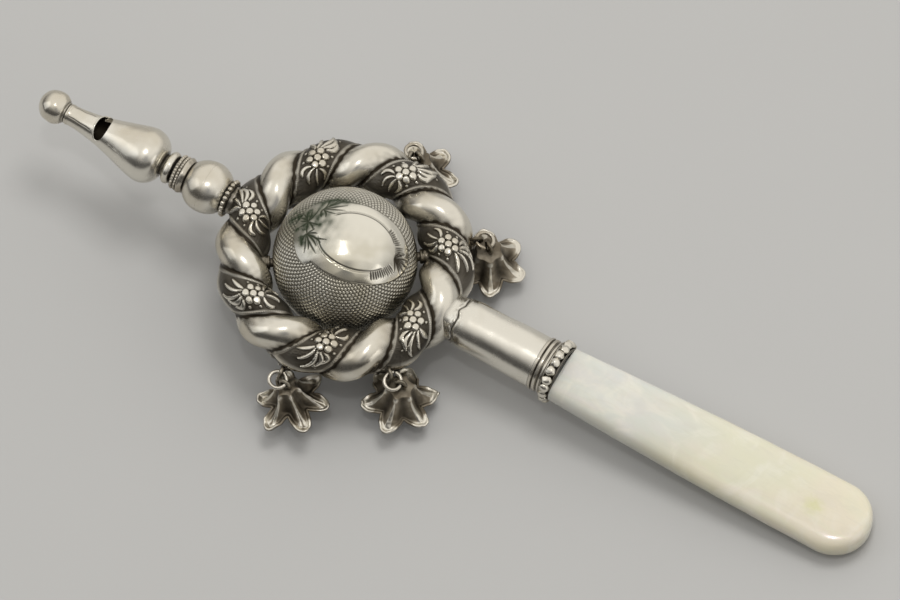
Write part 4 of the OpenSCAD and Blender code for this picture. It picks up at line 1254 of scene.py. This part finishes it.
def bell_links(i):
    """The bell's loop, its shank and the eye inside."""
    loop = moved(wire_loop(LOOP_R, JUMP_WIRE, 84, 18, 0, 0.02, 40 + i), spin("x", 90))
    shank_end = EYE_DROP - EYE_R
    outline = [(0.03, -shank_end), (0.3, -shank_end), (0.28, -CROWN_DROP - 0.25), (0.3, -CROWN_DROP),
               (0.48, -CROWN_DROP + 0.1), (0.42, -LOOP_R - 0.14), (0.3, -LOOP_R + 0.05),
               (0.03, -LOOP_R + 0.1)]
    shank = moved(lathed(outline, 0.05, 0.15, 30, 1), spin("y", -90))
    eye = moved(wire_loop(EYE_R, EYE_WIRE, 56, 14, 0, 0.02, 50 + i), shift(0, 0, -EYE_DROP) @ spin("x", 90))
    return joined([loop, shank, eye])


def clapper(i):
    eye = moved(wire_loop(EYE_R, EYE_WIRE, 56, 14, 8, 0.02, 60 + i), shift(0, 0, -EYE_R) @ spin("y", 90))
    rod = [(0.03, -CLAPPER_LEN + 0.3), (EYE_WIRE, -CLAPPER_LEN + 0.3), (EYE_WIRE * 0.92, -2.2),
           (EYE_WIRE, -2 * EYE_R), (0.03, -2 * EYE_R + 0.08)]
    wire = moved(lathed(rod, 0.05, 0.2, 24, 1), spin("y", -90))
    points, faces = globe(CLAPPER_BALL_R * (0.8 if i == 1 else 0.95), 26, 36)
    points = points * (1 + 0.02 * ripple(points, 0.9, 70 + i))[:, None]
    ball = moved((points, faces), shift(0, 0, -CLAPPER_LEN))
    return joined([eye, wire, ball])


def staple(i):
    ring = moved(wire_loop(STAPLE_R, STAPLE_WIRE, 84, 18, 0, 0.03, 30 + i), spin("x", 90))
    points, faces = globe(0.62, 16, 28)
    points = points * (1.0 + 0.12 * ripple(points, 0.7, 90 + i))[:, None] * (0.62, 1.0, 0.95)
    solder = moved((points, faces), shift(-STAPLE_R + 0.02, 0, 0))
    return joined([ring, (*solder, {"dark": 0.6})])


for i in range(4):
    n = i + 1
    add_piece(f"bell_staple_{n}_wire", staple(i), oxidised, "rattle", [f"bell_staple_{n}"],
              at_staple(i))
    ring = moved(wire_loop(JUMP_R, JUMP_WIRE, 110, 22, 3.5, 0.035, 20 + i), spin("z", 150 + 40 * i))
    add_piece(f"jump_ring_{n}_wire", ring, worn, f"jump_ring_{n}", [f"jump_ring_{n}"],
              at_jump(i) @ shift(JUMP_R, 0, 0))
    add_piece(f"bell_loop_{n}_wire", bell_links(i), oxidised, f"bell_{n}", [f"bell_loop_{n}"],
              at_bell(i))
    add_piece(f"bell_{n}_petals", bell(i), bell_silver, f"bell_{n}", [f"bell_{n}"],
              at_bell(i) @ spin("z", BELL_TURN[i]), sharp=None)
    hang = at_bell(i) @ shift(0, 0, -EYE_DROP) @ spin("y", CLAPPER_LEAN[i])
    add_piece(f"clapper_{n}_ball", clapper(i), oxidised, f"clapper_{n}", [f"clapper_{n}"], hang)

# CAD pieces that are hidden inside keep their shape and take a material ---------------
lead = silver_look("lead_shot", (0.35, 0.35, 0.36), (0.25, 0.25, 0.25), (0.08, 0.08, 0.08), 0.5, 0.5)


def cement_look():
    look = Look("cement")
    base = look.colour(look.noise(1.2, 6), (0.12, 0.08, 0.05), (0.25, 0.18, 0.12))
    look.put(Base_Color=base, Roughness=0.8, Normal=look.bump(look.noise(0.5, 4), 0.1))
    return look.material


cement = cement_look()
dressed = [(f"shot_{n}", lead, "shot_metal") for n in (1, 2, 3)]
dressed += [("handle_cement", cement, "cement"), ("fipple_plug", inner, "oxidised")]
for node, look, slot_name in dressed:
    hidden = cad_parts[node]
    hidden.data.materials.clear()
    hidden.data.materials.append(look)


# Floor, light and camera -------------------------------------------------------------
def floor_look():
    look = Look("floor")
    base = look.colour(look.noise(60, 4), (0.44, 0.44, 0.435), (0.46, 0.46, 0.455))
    look.put(Base_Color=base, Roughness=0.6, Specular_IOR_Level=0.3)
    look.put(Normal=look.bump(look.noise(0.8, 4), 0.03, 0.25))
    return look.material


size = 3.0
mesh = bpy.data.meshes.new("floor")
floor_z = cad_low.z - 0.00002
mesh.from_pydata([(-size, -size, floor_z), (size, -size, floor_z), (size, size, floor_z),
                  (-size, size, floor_z)], [], [(0, 1, 2, 3)])
mesh.materials.append(floor_look())
linked("floor", mesh)

AZIMUTH, ELEVATION, VIEW_WIDTH, DISTANCE = 30, 66, 155.7, 3000
az, el = math.radians(AZIMUTH), math.radians(ELEVATION)
lying = Matrix(LIE[:3, :3].tolist())
BACK = lying @ Vector((math.sin(az) * math.cos(el), -math.cos(az) * math.cos(el), math.sin(el)))
RIGHT = lying @ Vector((math.cos(az), math.sin(az), 0))
UP = BACK.cross(RIGHT)
ball_centre = Vector(LIE[:3, 3])
aim = ball_centre + RIGHT * 18.17 - UP * 7.0
camera_data = bpy.data.cameras.new("camera")
camera_data.lens = 36 * DISTANCE / VIEW_WIDTH
camera_data.clip_start, camera_data.clip_end = 0.01, 20
camera = linked("camera", camera_data)
camera.location = (aim + BACK * DISTANCE) * TO_METRES
camera.rotation_mode = "QUATERNION"
camera.rotation_quaternion = Matrix((RIGHT, UP, BACK)).transposed().to_quaternion()
bpy.context.scene.camera = camera


def softbox(name, way, distance, width, height, power, tint=(1, 1, 1), glossy=True):
    """A rectangular lamp that looks at the rattle from a direction in the camera's terms: right, up, back."""
    towards = (RIGHT * way[0] + UP * way[1] + BACK * way[2]).normalized()
    lamp = bpy.data.lights.new(name, "AREA")
    lamp.shape, lamp.size, lamp.size_y, lamp.energy, lamp.color = "RECTANGLE", width, height, power, tint
    made = linked(name, lamp)
    made.location = ball_centre * TO_METRES + towards * distance
    made.rotation_mode = "QUATERNION"
    made.rotation_quaternion = (-towards).to_track_quat("-Z", "Y")
    made.visible_glossy = glossy


softbox("overhead", (0.15, 0.75, 0.8), 0.9, 0.35, 0.3, 2.6, (1, 0.985, 0.96), False)
softbox("spot", (-0.05, 0.26, 0.96), 1.0, 0.07, 0.07, 0.7)
softbox("left_side", (-1.0, 0.25, 0.45), 0.9, 0.5, 0.7, 0.7, (0.97, 0.985, 1))
softbox("handle_end", (0.8, -0.5, 0.5), 0.9, 0.45, 0.5, 0.6, (1, 0.98, 0.95))


class Sky(Look):
    """The same short names, for the world's nodes."""

    def __init__(self, name):
        self.world = bpy.data.worlds.new(name)
        self.world.use_nodes = True
        self.tree = self.world.node_tree
        self.where = self.add("ShaderNodeTexCoord").outputs["Generated"]


def studio():
    """A pale tent: bright overhead, dim near the floor, with a dim gap where the viewer stands."""
    sky = Sky("studio")
    height = sky.band(sky.against("DOT_PRODUCT", lying @ Vector((0, 0.43, 0.9))), -0.02, 0.72)
    shade = sky.colour(height, (0.07, 0.068, 0.066), (0.98, 0.955, 0.91))
    viewer = (BACK * 0.95 - UP * 0.27 + RIGHT * 0.05).normalized()
    gap = sky.band(sky.against("DISTANCE", viewer), 0.06, 0.32, 0.75, 0.0)
    shine = sky.tree.nodes["Background"]
    sky.feed(shine.inputs["Color"], sky.colour(gap, shade, (0.13, 0.14, 0.17)))
    sky.feed(shine.inputs["Strength"], 0.95)
    return sky.world


bpy.context.scene.world = studio()
bpy.context.scene.view_settings.view_transform = "Standard"
